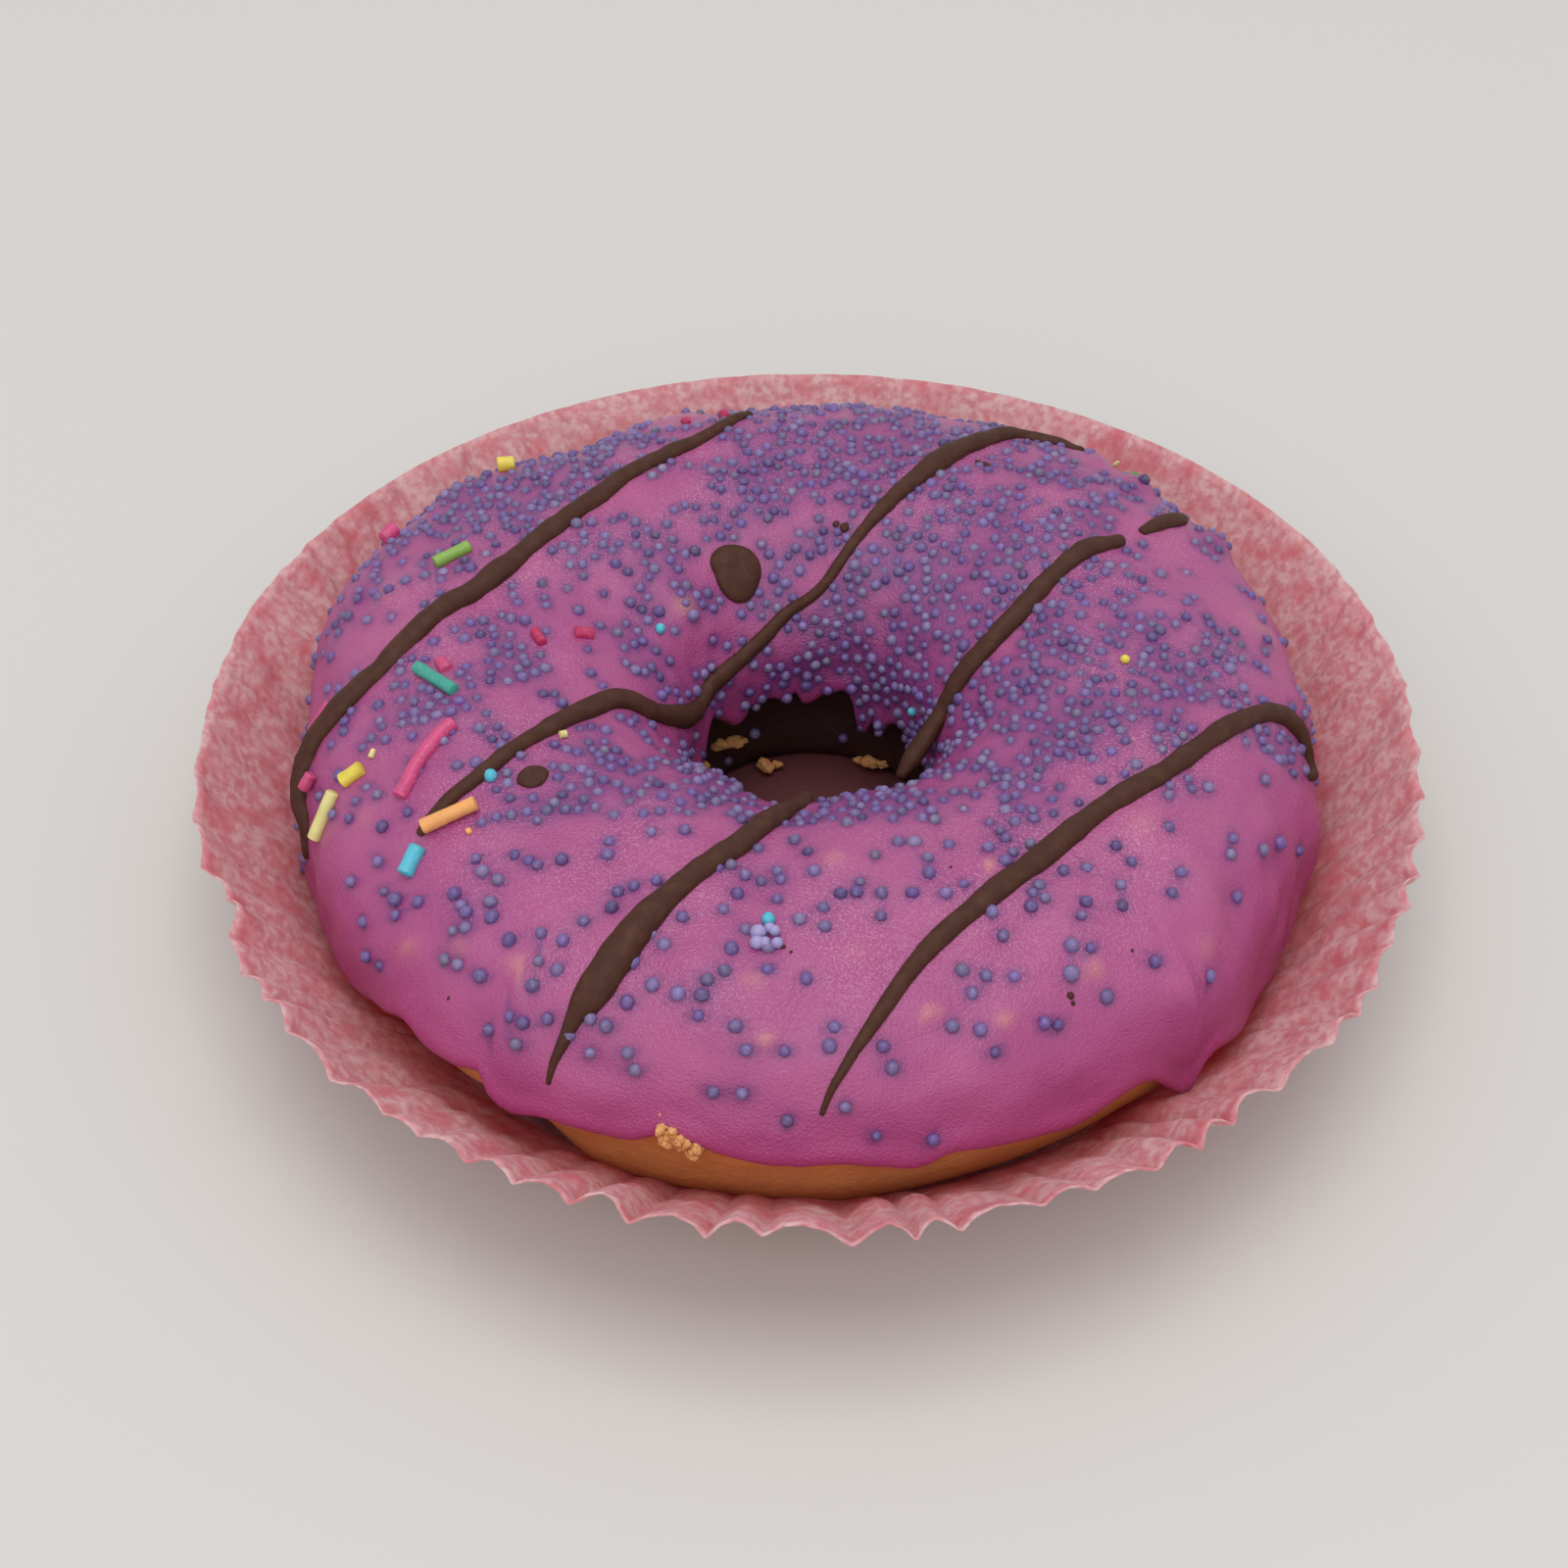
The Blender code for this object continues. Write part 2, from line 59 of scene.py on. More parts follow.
# Ring: azimuth and half width in degrees, and millimetres, of each place where its side swells or dips.
SWELLINGS = (
    (3, 11, -0.7), (46, 22, 2.0), (73, 14, 1.1), (147, 20, 2.8), (168, 10, 0.6), (187, 8, 0.8),
    (236, 12, 1.3), (316, 7, 0.9), (336, 13, -1.4), (354, 5, -0.7),
)

# Ring: azimuth and half width in degrees, and millimetres, of each place where its lower side draws in.
HOLLOWS = ((229, 13, 5.0), (300, 22, 0.9))

# Ring: azimuth and turn of the place where the rim of the hole swells, both half widths, and millimetres.
SWOLLEN_RIM = (262, 140, 40, 38, 1.0)

# Icing: its edge on the ring's side and in the hole, as azimuth and turn in degrees.
ICING_EDGE = (
    (0, -22), (14, -25), (26, -18), (40, -24), (54, -16), (68, -22), (84, -15), (98, -23), (112, -16),
    (128, -24), (144, -19), (158, -23), (172, -18), (186, -24), (200, -20), (210, -17), (217, -8),
    (223, 6), (228, 7), (233, 9.5), (234.5, 14), (236, 5), (239, 0), (242, 4.5), (245, 4.5), (249, 2.5),
    (252, 3.5), (254.5, 9.5), (258, 7.5), (261, 4.5), (264, 2.5), (268, 2), (272, 3.5), (276.5, 0),
    (280, -2.5), (283, 2), (286, 1), (292, -2), (297, -5), (299.5, -3), (303, 1), (306, 0.5), (308.5, -8),
    (310.5, -17), (312.5, -18), (314, -6), (316, -7), (320, -12), (325, -19), (334, -24), (341, -19),
    (347, -20), (354, -24),
)
HOLE_EDGE = (
    (0, 187), (14, 190), (23, 193), (31, 195), (37, 188.5), (43, 190), (47, 191.5), (51.5, 198),
    (56, 194), (60.5, 201), (65, 199), (67.5, 189), (72, 184), (80, 185.5), (84.5, 187), (88.5, 191),
    (94, 191), (98, 186), (103, 190), (107, 186.5), (114, 186), (119, 187.5), (123, 187), (126, 191.5),
    (132, 192.5), (140, 186), (149, 180), (158, 187), (166, 191), (185, 193), (205, 188), (225, 192),
    (250, 187), (275, 193), (300, 188), (320, 192), (340, 188),
)

# Lumps under the icing, seen from above in millimetres: x, y, radius, height, and how much dough shows.
LUMPS = (
    (-23.5, -33.0, 1.3, 0.45, 0.55), (-4.0, -40.3, 0.9, 0.35, 0.9), (9.0, -38.2, 1.0, 0.45, 0.8),
    (15.0, -38.0, 1.0, 0.4, 0.8), (22.0, -33.5, 1.3, 0.5, 0.6), (14.2, -24.8, 0.8, 0.35, 0.85),
    (-12.0, 10.8, 1.6, 0.6, 0.55), (3.5, -33.6, 1.9, 0.6, 0.1), (44.5, -7.9, 2.6, 0.8, 0.0),
    (-38.6, 11.5, 2.0, 0.5, 0.25), (-33.0, -28.5, 1.5, 0.4, 0.35), (1.5, -24.5, 1.4, 0.35, 0.3),
    (27.0, -19.5, 2.2, 0.4, 0.2), (-5.0, -36.0, 1.3, 0.3, 0.35), (31.5, -29.5, 1.6, 0.5, 0.25),
    (38.0, -17.0, 2.4, 0.6, 0.0), (32.0, -25.5, 2.6, 0.7, 0.0), (-28.5, -30.5, 1.2, 0.35, 0.3),
    (38.0, 21.3, 1.9, 1.4, 0.0), (31.5, 28.8, 2.0, 1.4, 0.0), (33.2, -37.6, 1.2, 0.8, 0.0),
    (36.5, -24.5, 2.6, 0.6, 0.0), (41.3, -19.5, 2.0, 0.7, 0.0), (30.0, -32.5, 1.8, 0.6, 0.0),
    (-38.0, -16.0, 1.6, 0.35, 0.2), (40.5, 8.0, 3.2, 0.5, 0.2), (28.0, 33.0, 3.0, 0.8, 0.0),
    (-33.0, 28.0, 3.0, 0.6, 0.0), (-12.0, 39.0, 2.6, 0.6, 0.3), (-18.5, 38.0, 2.0, 0.5, 0.3),
)

# Drizzle seen from above in millimetres: x, y and width at each point.
STRANDS = (
    ((-44.9, -11.6, 0.9), (-45.5, -8.0, 2.5), (-45.2, -4.9, 2.8), (-42.2, -2.2, 2.6), (-37.6, 2.0, 2.4),
     (-33.2, 7.6, 2.3), (-27.0, 14.6, 2.1), (-20.0, 23.0, 2.0), (-14.0, 29.1, 1.8), (-9.5, 33.4, 1.6),
     (-6.0, 37.0, 1.1)),
    ((26.3, 34.2, 1.1), (24.0, 36.0, 1.6), (20.6, 36.7, 1.9), (16.5, 33.1, 2.1), (12.0, 28.2, 2.3),
     (8.6, 24.2, 1.8), (4.8, 19.3, 1.2), (1.2, 15.0, 1.0), (-2.4, 12.9, 1.3), (-6.6, 9.6, 1.6),
     (-9.2, 6.7, 1.9), (-10.7, 3.6, 2.0), (-12.1, 0.7, 2.1), (-14.2, -1.4, 2.1), (-17.2, -2.3, 2.0),
     (-20.2, -5.3, 1.9), (-24.5, -9.9, 1.7), (-28.0, -14.2, 1.5), (-31.4, -17.4, 1.3), (-33.0, -19.1, 0.9)),
    ((28.7, 17.2, 1.4), (25.3, 15.1, 1.9), (21.0, 10.8, 2.0), (17.1, 6.4, 2.1), (13.8, 3.5, 2.0),
     (11.8, 1.7, 1.8)),
    ((31.0, 19.0, 1.1), (32.7, 20.8, 1.6), (34.7, 22.8, 1.7), (35.4, 24.4, 1.1)),
    ((-1.7, -15.4, 2.0), (-3.8, -19.2, 2.1), (-6.4, -22.8, 2.3), (-10.0, -26.4, 2.1),
     (-14.0, -31.3, 2.7), (-17.2, -35.8, 3.0), (-18.9, -37.7, 1.7), (-20.0, -39.2, 1.1),
     (-20.7, -40.0, 0.75), (-21.2, -40.9, 0.4)),
    ((43.9, -5.6, 0.9), (44.4, -3.6, 1.4), (44.1, -1.6, 1.8), (42.0, -1.7, 1.9), (39.0, -4.0, 1.9),
     (34.0, -8.9, 1.8), (29.0, -13.9, 2.0), (24.0, -18.0, 2.1), (19.0, -23.0, 2.2), (14.0, -28.0, 2.0),
     (9.0, -33.0, 1.7), (5.1, -38.4, 1.3), (2.6, -41.6, 0.9), (1.2, -43.3, 0.6), (0.4, -44.5, 0.4)),
)
# Ends of drizzle that stand out over the hole: strand, whether it is its start, and x, y, height and width.
OVERHANGS = (
    (2, False, ((9.3, -1.4, 14.2, 1.9), (8.0, -3.2, 13.2, 1.2))),
    (4, True, ((-1.1, -13.9, 20.2, 1.9), (-0.7, -12.5, 19.8, 1.3))),
)
# Spots of drizzle: x, y, height, and radius at equal steps round the spot, in millimetres.
SPOTS = (
    (-7.0, 15.8, 0.95, (2.45, 2.35, 2.2, 2.15, 2.2, 2.35, 2.4, 2.2, 2.6, 2.95, 2.8, 2.5)),
    (-23.7, -14.5, 0.55, (1.25, 1.5, 1.5, 1.3, 1.15, 1.15, 1.3, 1.4, 1.3, 1.2, 1.15, 1.15)),
)
# Small broken bits of chocolate: x, y and size.
FLECKS = (
    (16.9, 29.0, 0.5), (16.2, 29.3, 0.4), (17.7, 35.0, 0.45), (3.1, 19.9, 0.6), (2.3, 20.3, 0.4),
    (-2.6, -33.3, 0.25), (-2.0, -33.8, 0.18), (20.3, -35.6, 0.35), (20.5, -36.1, 0.22), (11.0, -25.0, 0.16),
    (25.3, -31.4, 0.15), (-29.3, -33.7, 0.15),
)

# Rod sprinkles: start and end seen from above, width, how high they lie, and colour.
RODS = (
    ((-34.9, 14.2), (-31.5, 16.3), 1.2, 0.35, "green"),
    ((-35.0, -0.2), (-31.0, -4.4), 1.2, 0.35, "teal"),
    ((-24.9, 4.5), (-23.9, 2.4), 1.0, 0.2, "crimson"),
    ((-21.5, 4.6), (-19.4, 5.0), 1.2, 0.2, "crimson"),
    ((-33.1, 0.8), (-32.1, -1.1), 1.3, -0.1, "rose"),
    ((-40.6, -11.2), (-38.5, -10.6), 1.35, 0.45, "yellow"),
    ((-43.2, -13.7), (-41.1, -11.5), 1.25, 0.45, "straw"),
    ((-32.8, -19.1), (-27.8, -17.8), 1.3, 0.75, "orange"),
    ((-32.9, -20.3), (-34.1, -22.9), 1.5, 0.4, "sky"),
    ((-40.1, 21.8), (-38.7, 23.5), 1.6, 0.5, "rose"),
    ((-44.7, -8.6), (-43.7, -8.0), 1.1, 0.7, "rose"),
    ((-45.4, -1.2), (-43.6, 0.9), 1.0, 0.0, "rose"),
    ((-8.9, 37.4), (-7.9, 38.0), 1.2, 0.2, "crimson"),
    ((-12.6, 36.0), (-11.6, 36.5), 0.9, 0.1, "crimson"),
    ((-30.1, 30.5), (-28.2, 31.2), 1.5, 0.6, "yellow"),
    ((-21.9, -9.0), (-21.1, -8.6), 0.7, 0.25, "straw"),
    ((-38.2, -9.8), (-37.9, -8.9), 0.5, 0.15, "straw"),
    ((-28.9, -20.3), (-28.3, -20.0), 0.6, 0.1, "orange"),
    ((31.0, 32.3), (32.2, 31.2), 1.3, 0.5, "moss"),
    ((29.4, 33.2), (29.8, 32.9), 0.9, 0.3, "straw"),
)
CURVED_ROD = ((-30.8, -8.6), (-31.6, -9.5), (-32.7, -10.9), (-33.6, -12.3), (-34.3, -13.8), (-35.0, -15.0))

# Sugar pearls of another colour: x, y and colour.
ODD_PEARLS = (
    (-14.0, 7.8, "sky"), (-27.2, -14.5, "sky"), (-3.8, -30.7, "sky"), (27.5, 0.2, "yellow"),
    (9.6, 5.2, "sky"),
)

# Sugar pearls that lie singly at the front, seen from above.
SINGLE_PEARLS = (
    (-39.4, -15.2), (-38.8, -20.7), (-37.6, -24.2), (-36.9, -26.5), (-36.7, -20.3), (-36.4, -17.4),
    (-35.8, -23.2), (-35.8, -27.8), (-34.6, -24.4), (-34.5, -25.6), (-34.2, -16.8), (-32.6, -25.4),
    (-29.9, -30.9), (-29.3, -25.9), (-29.2, -29.0), (-28.6, -27.1), (-28.5, -31.8), (-28.2, -27.8),
    (-28.1, -29.1), (-27.9, -22.9), (-27.3, -24.2), (-26.6, -33.2), (-26.4, -27.3), (-26.1, -28.7),
    (-26.0, -25.2), (-26.0, -36.8), (-24.8, -22.8), (-24.5, -31.0), (-24.2, -36.5), (-23.6, -38.3),
    (-23.6, -23.5), (-23.1, -37.2), (-22.8, -24.2), (-22.3, -34.9), (-21.9, -30.9), (-21.9, -33.2),
    (-21.1, -37.4), (-20.8, -23.8), (-20.4, -34.1), (-20.1, -31.8), (-19.4, -38.7), (-18.6, -30.3),
    (-17.8, -40.0), (-17.6, -37.9), (-17.0, -23.4), (-16.9, -21.8), (-16.4, -38.5), (-16.4, -29.2),
    (-16.0, -27.6), (-14.8, -37.1), (-14.8, -40.3), (-14.7, -27.1), (-14.5, -34.1), (-14.2, -41.3),
    (-13.5, -21.4), (-13.1, -31.9), (-12.8, -26.8), (-12.8, -36.0), (-12.0, -32.9), (-10.8, -36.8),
    (-10.8, -21.6), (-10.6, -30.5), (-9.2, -38.5), (-8.9, -37.1), (-8.5, -36.0), (-8.1, -43.2),
    (-7.9, -25.4), (-7.4, -29.6), (-7.2, -35.3), (-6.9, -25.1), (-6.7, -33.4), (-6.3, -39.4),
    (-6.3, -28.0), (-5.8, -43.4), (-5.7, -26.0), (-5.6, -31.6), (-5.5, -41.0), (-4.7, -23.0),
    (-4.4, -26.4), (-3.8, -33.3), (-3.8, -35.3), (-3.1, -28.4), (-3.1, -25.3), (-2.8, -26.2),
    (-2.5, -41.2), (-2.3, -44.8), (-1.7, -22.1), (-1.3, -30.7), (-0.8, -36.0), (-0.6, -23.4),
    (-0.1, -25.7), (0.6, -29.4), (0.7, -31.4), (1.0, -40.9), (1.4, -39.6), (2.0, -28.0), (2.2, -44.2),
    (3.3, -27.8), (3.6, -26.7), (4.7, -45.2), (4.9, -23.8), (5.2, -30.1), (5.2, -40.8), (5.3, -27.9),
    (5.9, -42.1), (6.9, -22.2), (7.8, -27.8), (8.2, -22.2), (9.2, -25.8), (9.2, -24.2), (9.2, -44.8),
    (10.5, -27.8), (10.7, -39.1), (11.0, -22.3), (11.6, -34.8), (12.0, -26.8), (12.4, -36.5),
    (12.9, -39.1), (13.5, -35.1), (14.0, -40.3), (14.1, -29.6), (14.2, -22.6), (15.0, -31.5),
    (15.3, -20.5), (15.5, -24.2), (15.7, -21.4), (15.8, -34.9), (16.2, -23.0), (17.3, -28.8),
    (17.5, -27.5), (17.7, -22.1), (18.1, -26.6), (18.2, -37.9), (18.5, -27.9), (19.3, -37.8),
    (20.3, -24.9), (20.3, -34.1), (20.4, -31.9), (21.3, -29.3), (21.8, -28.0), (21.9, -31.9),
    (22.3, -24.4), (23.2, -35.1), (24.9, -26.0), (24.9, -27.8), (24.9, -22.0), (26.0, -23.6),
    (27.0, -31.9), (29.0, -26.0), (29.9, -23.9), (31.7, -31.3), (33.4, -14.2), (35.0, -20.0),
    (35.4, -18.4), (35.5, -23.2), (38.2, -17.8), (39.1, -11.0), (39.8, -16.0), (42.1, -8.2), (42.2, -6.4),
    (42.5, -13.2),
)
# Pale crumbs of sugar that cling together.
PALE_CLUSTER = ((-4.6, -32.1), (-3.3, -32.0), (-4.1, -33.0), (-3.1, -33.1), (-4.7, -33.0), (-3.7, -31.7))

# Where the sugar pearls lie thickest: x, y, reach in millimetres, and amount.
PEARL_PATCHES = (
    (-30, 27, 7.5, 1.0), (-23, 34, 6, 0.9), (-37, 18, 5, 0.6), (-25, 23, 4, 0.35), (-20, 14, 3.5, 0.40),
    (-14, 15, 3.5, 0.55), (-6, 22, 5, 0.65), (-2, 16, 4.5, 0.8), (-3, 29, 5, 0.45), (5, 31, 5, 0.6),
    (5, 24, 4, 0.5), (3, 13, 4, 0.9), (9, 14, 6, 0.95), (16, 16, 7, 1.0), (17, 22, 4, 0.6),
    (21, 7, 6, 1.0), (15, -1, 4, 0.9), (11, 6, 4, 1.0), (24, 27, 5, 0.4), (33, 3, 5, 0.5),
    (33, -4, 5, 0.75), (21, -5, 5, 0.65), (25, -8, 5, 0.45), (18, -12, 4, 0.35), (10, -17, 6, 0.45),
    (0, -18, 6, 0.45), (16, -22, 2, 0.9), (17, -27, 1.6, 0.9), (-6, -24, 3, 0.55), (3, -26, 4, 0.3),
    (-10, -13, 5, 0.6), (-17, -17, 4.5, 0.55), (-17, -9, 2, 0.6), (-23, -18, 3, 0.4), (-30, -22, 3.5, 0.5),
    (-28, -27, 2.5, 0.6), (-35, -24, 2, 0.6), (-23, -23, 2, 0.5), (-33, -6, 4.5, 0.55), (-35, 1, 3, 0.4),
    (-28, 0, 4, 0.25), (-27, 4, 3, 0.2), (-16, -28, 1.6, 0.5), (12, -28, 4, 0.2), (22, -32, 2, 0.5),
    (14, -36, 4, 0.3), (2, -41, 4, 0.3), (-8, -36, 4, 0.25), (-22, -39, 6, 0.25), (35, 25, 5, 0.2),
    (44, -2, 4, 0.2), (42, -14, 5, 0.15), (0, 40, 10, 0.4), (20, 38, 8, 0.4), (-15, 4, 3, 0.3),
)
# Where none lie: x, y, reach and how much they thin out.
BARE_PATCHES = (
    (-12, 38, 5, 0.9), (-39, 7, 4.5, 0.9), (19, 24.5, 3, 0.85), (35, 13, 6, 0.85), (-17, 5, 3, 0.5),
    (-17, -25, 5, 0.9), (-24, -5, 3, 0.5), (35, -33, 9, 0.8), (33, -22, 6, 0.55), (-11, 31, 3, 0.6),
    (43, 10, 6, 0.8), (-36, -16, 3.5, 0.7), (6, 20, 1.5, 0.4), (8, -22, 2, 0.5), (22, 18, 2.5, 0.4),
    (-22, 5, 4.5, 0.7), (-32, 9, 3.5, 0.6), (-15, 24, 3.5, 0.5), (20, 30, 3, 0.6), (-2, 38, 4, 0.5),
)

# Paper case: azimuth, half width and how much of the wall is pressed flat.
PRESSED = ((178, 30, 0.75), (95, 45, 0.6), (222, 10, 0.3), (24, 34, 0.72))

# Crumbs: place and size in millimetres.
LOOSE_CRUMBS = (
    (-8.7, 9.6, 4.6, 1.3), (-7.3, 10.3, 4.3, 1.2), (-6.6, 10.9, 3.9, 0.7), (-10.3, 7.4, 4.0, 0.9),
    (-10.9, 6.5, 3.6, 0.7), (-4.3, 10.4, 1.1, 1.1), (-3.2, 10.7, 0.9, 0.7), (6.0, 10.6, 1.4, 1.1),
    (7.0, 10.2, 1.5, 0.8), (4.7, 11.2, 1.1, 0.6),
)
# Where dough crumbles at the icing's edge: azimuth and turn in degrees of both ends, and how many crumbs.
CRUMB_PATCH = ((254.0, 14.0), (258.3, 6.5), 88)
# Sugar pearls that fell off: place in millimetres.
FALLEN_PEARLS = (
    (-5.4, 11.7, 4.1), (3.2, 12.1, 3.1), (-8.0, 9.8, 2.3), (-5.2, 9.3, 10.0), (6.3, 7.8, 8.9),
    (6.4, 7.7, 8.1), (-26.0, -33.7, 1.9), (-34.8, -25.4, 2.3),
)

SPRINKLE_COLOURS = {
    "green": (0.23, 0.40, 0.06),
    "moss": (0.12, 0.21, 0.08),
    "teal": (0.05, 0.36, 0.27),
    "crimson": (0.48, 0.02, 0.10),
    "rose": (0.60, 0.06, 0.19),
    "yellow": (0.78, 0.62, 0.07),
    "straw": (0.76, 0.68, 0.25),
    "orange": (0.85, 0.38, 0.11),
    "sky": (0.08, 0.47, 0.60),
}


def length(name, description, default):
    """A size in metres that a user can change."""
    return bpy.props.FloatProperty(
        name=name, description=description, default=default, precision=5, unit="LENGTH"
    )


def whole(name, description, default):
    """A whole number that a user can change."""
    return bpy.props.IntProperty(name=name, description=description, default=default)


def power(name, description, default):
    """A light's power in watts."""
    return bpy.props.FloatProperty(name=name, description=description, default=default, subtype="POWER")


def colour(name, description, default):
    """A colour that a user can change."""
    return bpy.props.FloatVectorProperty(
        name=name, description=description, default=default, size=3, min=0.0, max=1.0, subtype="COLOR"
    )


class RingSettings(bpy.types.PropertyGroup):
    """The ring of dough."""

    radius: length("Ring radius", "From the hole's axis to the middle of the dough", 0.0284)
    middle_height: length("Middle height", "Height of the widest part of the ring", 0.0115)
    half_width: length("Half width", "Half the width of the dough between hole and side", 0.0162)
    above: length("Above middle", "Height of the dough above its widest part", 0.0112)
    below: length("Below middle", "Depth of the dough below its widest part", 0.0128)
    uneven: length("Unevenness", "How far the ring departs from a true round", 0.00035)
    colour: colour("Dough colour", "Golden brown of the crust", (0.68, 0.265, 0.070))
    pale: colour("Pale dough", "Paler dough round the ring's side", (0.78, 0.400, 0.150))
    # Painted shade: near black dough in the hole, at the bottom and just under the icing's edge stands in
    # for shadow.
    dough_shade: colour("Shaded dough", "Dark crust below and in the hole", (0.034, 0.011, 0.008))


class IcingSettings(bpy.types.PropertyGroup):
    """The coat of icing."""

    gap: length("Start", "Height of the icing's underside over the dough", 0.00045)
    thickness: length("Thickness", "Thickness of the icing", 0.0010)
    bead: length("Edge bead", "How much thicker the icing is along its edge", 0.00035)
    lip: length("Edge rounding", "Radius of the icing's rounded edge", 0.0010)
    relief: length("Relief", "Height of the soft waves of the icing", 0.00028)
    colour: colour("Icing colour", "Magenta pink of the icing", (0.400, 0.068, 0.218))
    edge_colour: colour("Edge colour", "Deeper colour along the edge", (0.41, 0.034, 0.158))
    bleed_colour: colour("Bleed colour", "Violet that the pearls have given off", (0.185, 0.040, 0.190))


class CaseSettings(bpy.types.PropertyGroup):
    """The paper case."""

    floor_radius: length("Floor radius", "Radius of the flat floor", 0.0405)
    wall_slant: length("Wall slant", "Length of the wall from floor to rim", 0.0218)
    wall_lean: bpy.props.FloatProperty(
        name="Wall lean",
        description="Angle of the wall above the floor",
        default=math.radians(48.0),
        subtype="ANGLE",
    )
    wall_curve: bpy.props.FloatProperty(
        name="Wall curve", description="How much steeper the wall gets towards the rim", default=1.3
    )
    pleats: whole("Pleats", "Number of folds round the wall", 72)
    pleat_depth: length("Pleat depth", "Depth of the folds at the rim", 0.0015)
    paper: length("Paper thickness", "Thickness of the paper", 0.00016)
    colour: colour("Paper colour", "Pink of the paper", (0.52, 0.215, 0.230))
    deep: colour("Rubbed colour", "Redder pink of creased paper", (0.52, 0.125, 0.150))
    fibre: colour("Fibre colour", "Pale fibres in the paper", (0.62, 0.390, 0.390))
    # Dark red for greasy paper near the dough, which also stands in for shade there, and painted shade on
    # the floor seen in the hole.
    soaked_and_shaded: colour("Soaked colour", "Dark red of soaked paper", (0.150, 0.036, 0.040))


class DrizzleSettings(bpy.types.PropertyGroup):
    """The chocolate drizzle."""

    height: bpy.props.FloatProperty(
        name="Height",
        description="Height of a strand as a share of its width",
        default=0.42,
        min=0.0,
        max=1.0,
        subtype="FACTOR",
    )
    colour: colour("Chocolate colour", "Brown of the drizzle", (0.064, 0.022, 0.012))
    bloom: colour("Bloom colour", "Paler brown in soft patches", (0.092, 0.035, 0.021))


class SugarSettings(bpy.types.PropertyGroup):
    """The sugar pearls and rods."""

    pearls: whole("Pearls", "Most pearls scattered on the icing", 2300)
    pearl_radius: length("Pearl radius", "Radius of a pearl", 0.00052)
    lift: length("Lift", "Height of a pearl's middle over the icing", -0.00012)
    seed: whole("Seed", "Another number scatters them anew", 11)
    colour: colour("Pearl colour", "Blue violet of the pearls", (0.132, 0.074, 0.248))


class StageSettings(bpy.types.PropertyGroup):
    """Floor, light and camera."""

    floor: colour("Floor colour", "Plain pale floor", (0.64, 0.610, 0.575))
    key_power: power("Key light", "Power of the soft light above", 7.9)
    fill_power: power("Fill light", "Power of the weak light in front", 5.0)
    sky: bpy.props.FloatProperty(name="Sky", description="Strength of the light all round", default=0.65)


class DoughnutSettings(bpy.types.PropertyGroup):
    """All sizes and colours of the doughnut."""

    ring: bpy.props.PointerProperty(type=RingSettings)
    icing: bpy.props.PointerProperty(type=IcingSettings)
    case: bpy.props.PointerProperty(type=CaseSettings)
    drizzle: bpy.props.PointerProperty(type=DrizzleSettings)
    sugar: bpy.props.PointerProperty(type=SugarSettings)
    stage: bpy.props.PointerProperty(type=StageSettings)


def settings():
    """The sizes and colours in the scene."""
    return bpy.context.scene.doughnut


# Shape of the ring, in millimetres.


def wrapped(degrees):
    """The same angles between -180 and 180 degrees."""
    return (degrees + 180.0) % 360.0 - 180.0


def bell(distance):
    """One at no distance, falling softly to nothing past one."""
    return np.exp(-(distance**2))


def flat_bell(distance):
    """One over most of the way, falling to nothing past one."""
    return np.exp(-(distance**4))


def bulge(azimuth, places):
    """How far the ring's side swells, or draws in, at these azimuths."""
    return sum(height * flat_bell(wrapped(azimuth - centre) / reach) for centre, reach, height in places)


def unit_circle(azimuth):
    """Points at these azimuths on a circle of radius one."""
    return np.stack([np.cos(np.radians(azimuth)), np.sin(np.radians(azimuth))], -1)


def unevenness(azimuth, turn):
    """Low waves over the top of the ring."""
    round_it, over_it = np.radians(azimuth), np.radians(turn)
    waves = np.sin(3 * round_it + 1.1) * np.cos(over_it - 0.4)
    waves += np.sin(7 * round_it + 2 * over_it) + np.sin(5 * round_it - 3 * over_it + 2.0)
    height = settings().ring.uneven / MM
    return height * waves / 2 * np.clip(np.sin(over_it) + 0.5, 0, 1)


def ring_point(azimuth, turn, grow):
    """Points on the ring at an azimuth and a turn from its side over its top, grow above the dough."""
    ring = settings().ring
    azimuth, turn, grow = np.broadcast_arrays(azimuth, turn, grow)
    across, rise = np.cos(np.radians(turn)), np.sin(np.radians(turn))
    rim_azimuth, rim_turn, rim_reach, rim_spread, rim_height = SWOLLEN_RIM
    rim = flat_bell(wrapped(azimuth - rim_azimuth) / rim_reach) * flat_bell((turn - rim_turn) / rim_spread)
    grow = grow + unevenness(azimuth, turn) + rim_height * rim
    half_height = np.where(rise >= 0, ring.above, ring.below) / MM
    above, outer, inner = ROUNDNESS
    roundness = np.where(rise >= 0, above, np.where(across > 0, outer, inner))
    reach = (np.abs(across) ** roundness + np.abs(rise) ** roundness) ** (-1 / roundness)
    outside = np.maximum(across, 0)
    side = bulge(azimuth, SWELLINGS) * outside**2 * (3 - 2 * outside) * (1 + np.minimum(rise, 0))
    side = side - bulge(azimuth, HOLLOWS) * np.clip(-1.8 * rise, 0, 1) * np.clip(2 * outside, 0, 1)
    radius = ring.radius / MM + (ring.half_width / MM + grow) * reach * across + side
    height = ring.middle_height / MM + (half_height + grow) * reach * rise
    round_it = np.radians(azimuth)
    return np.stack([radius * np.cos(round_it), radius * np.sin(round_it), height], -1)


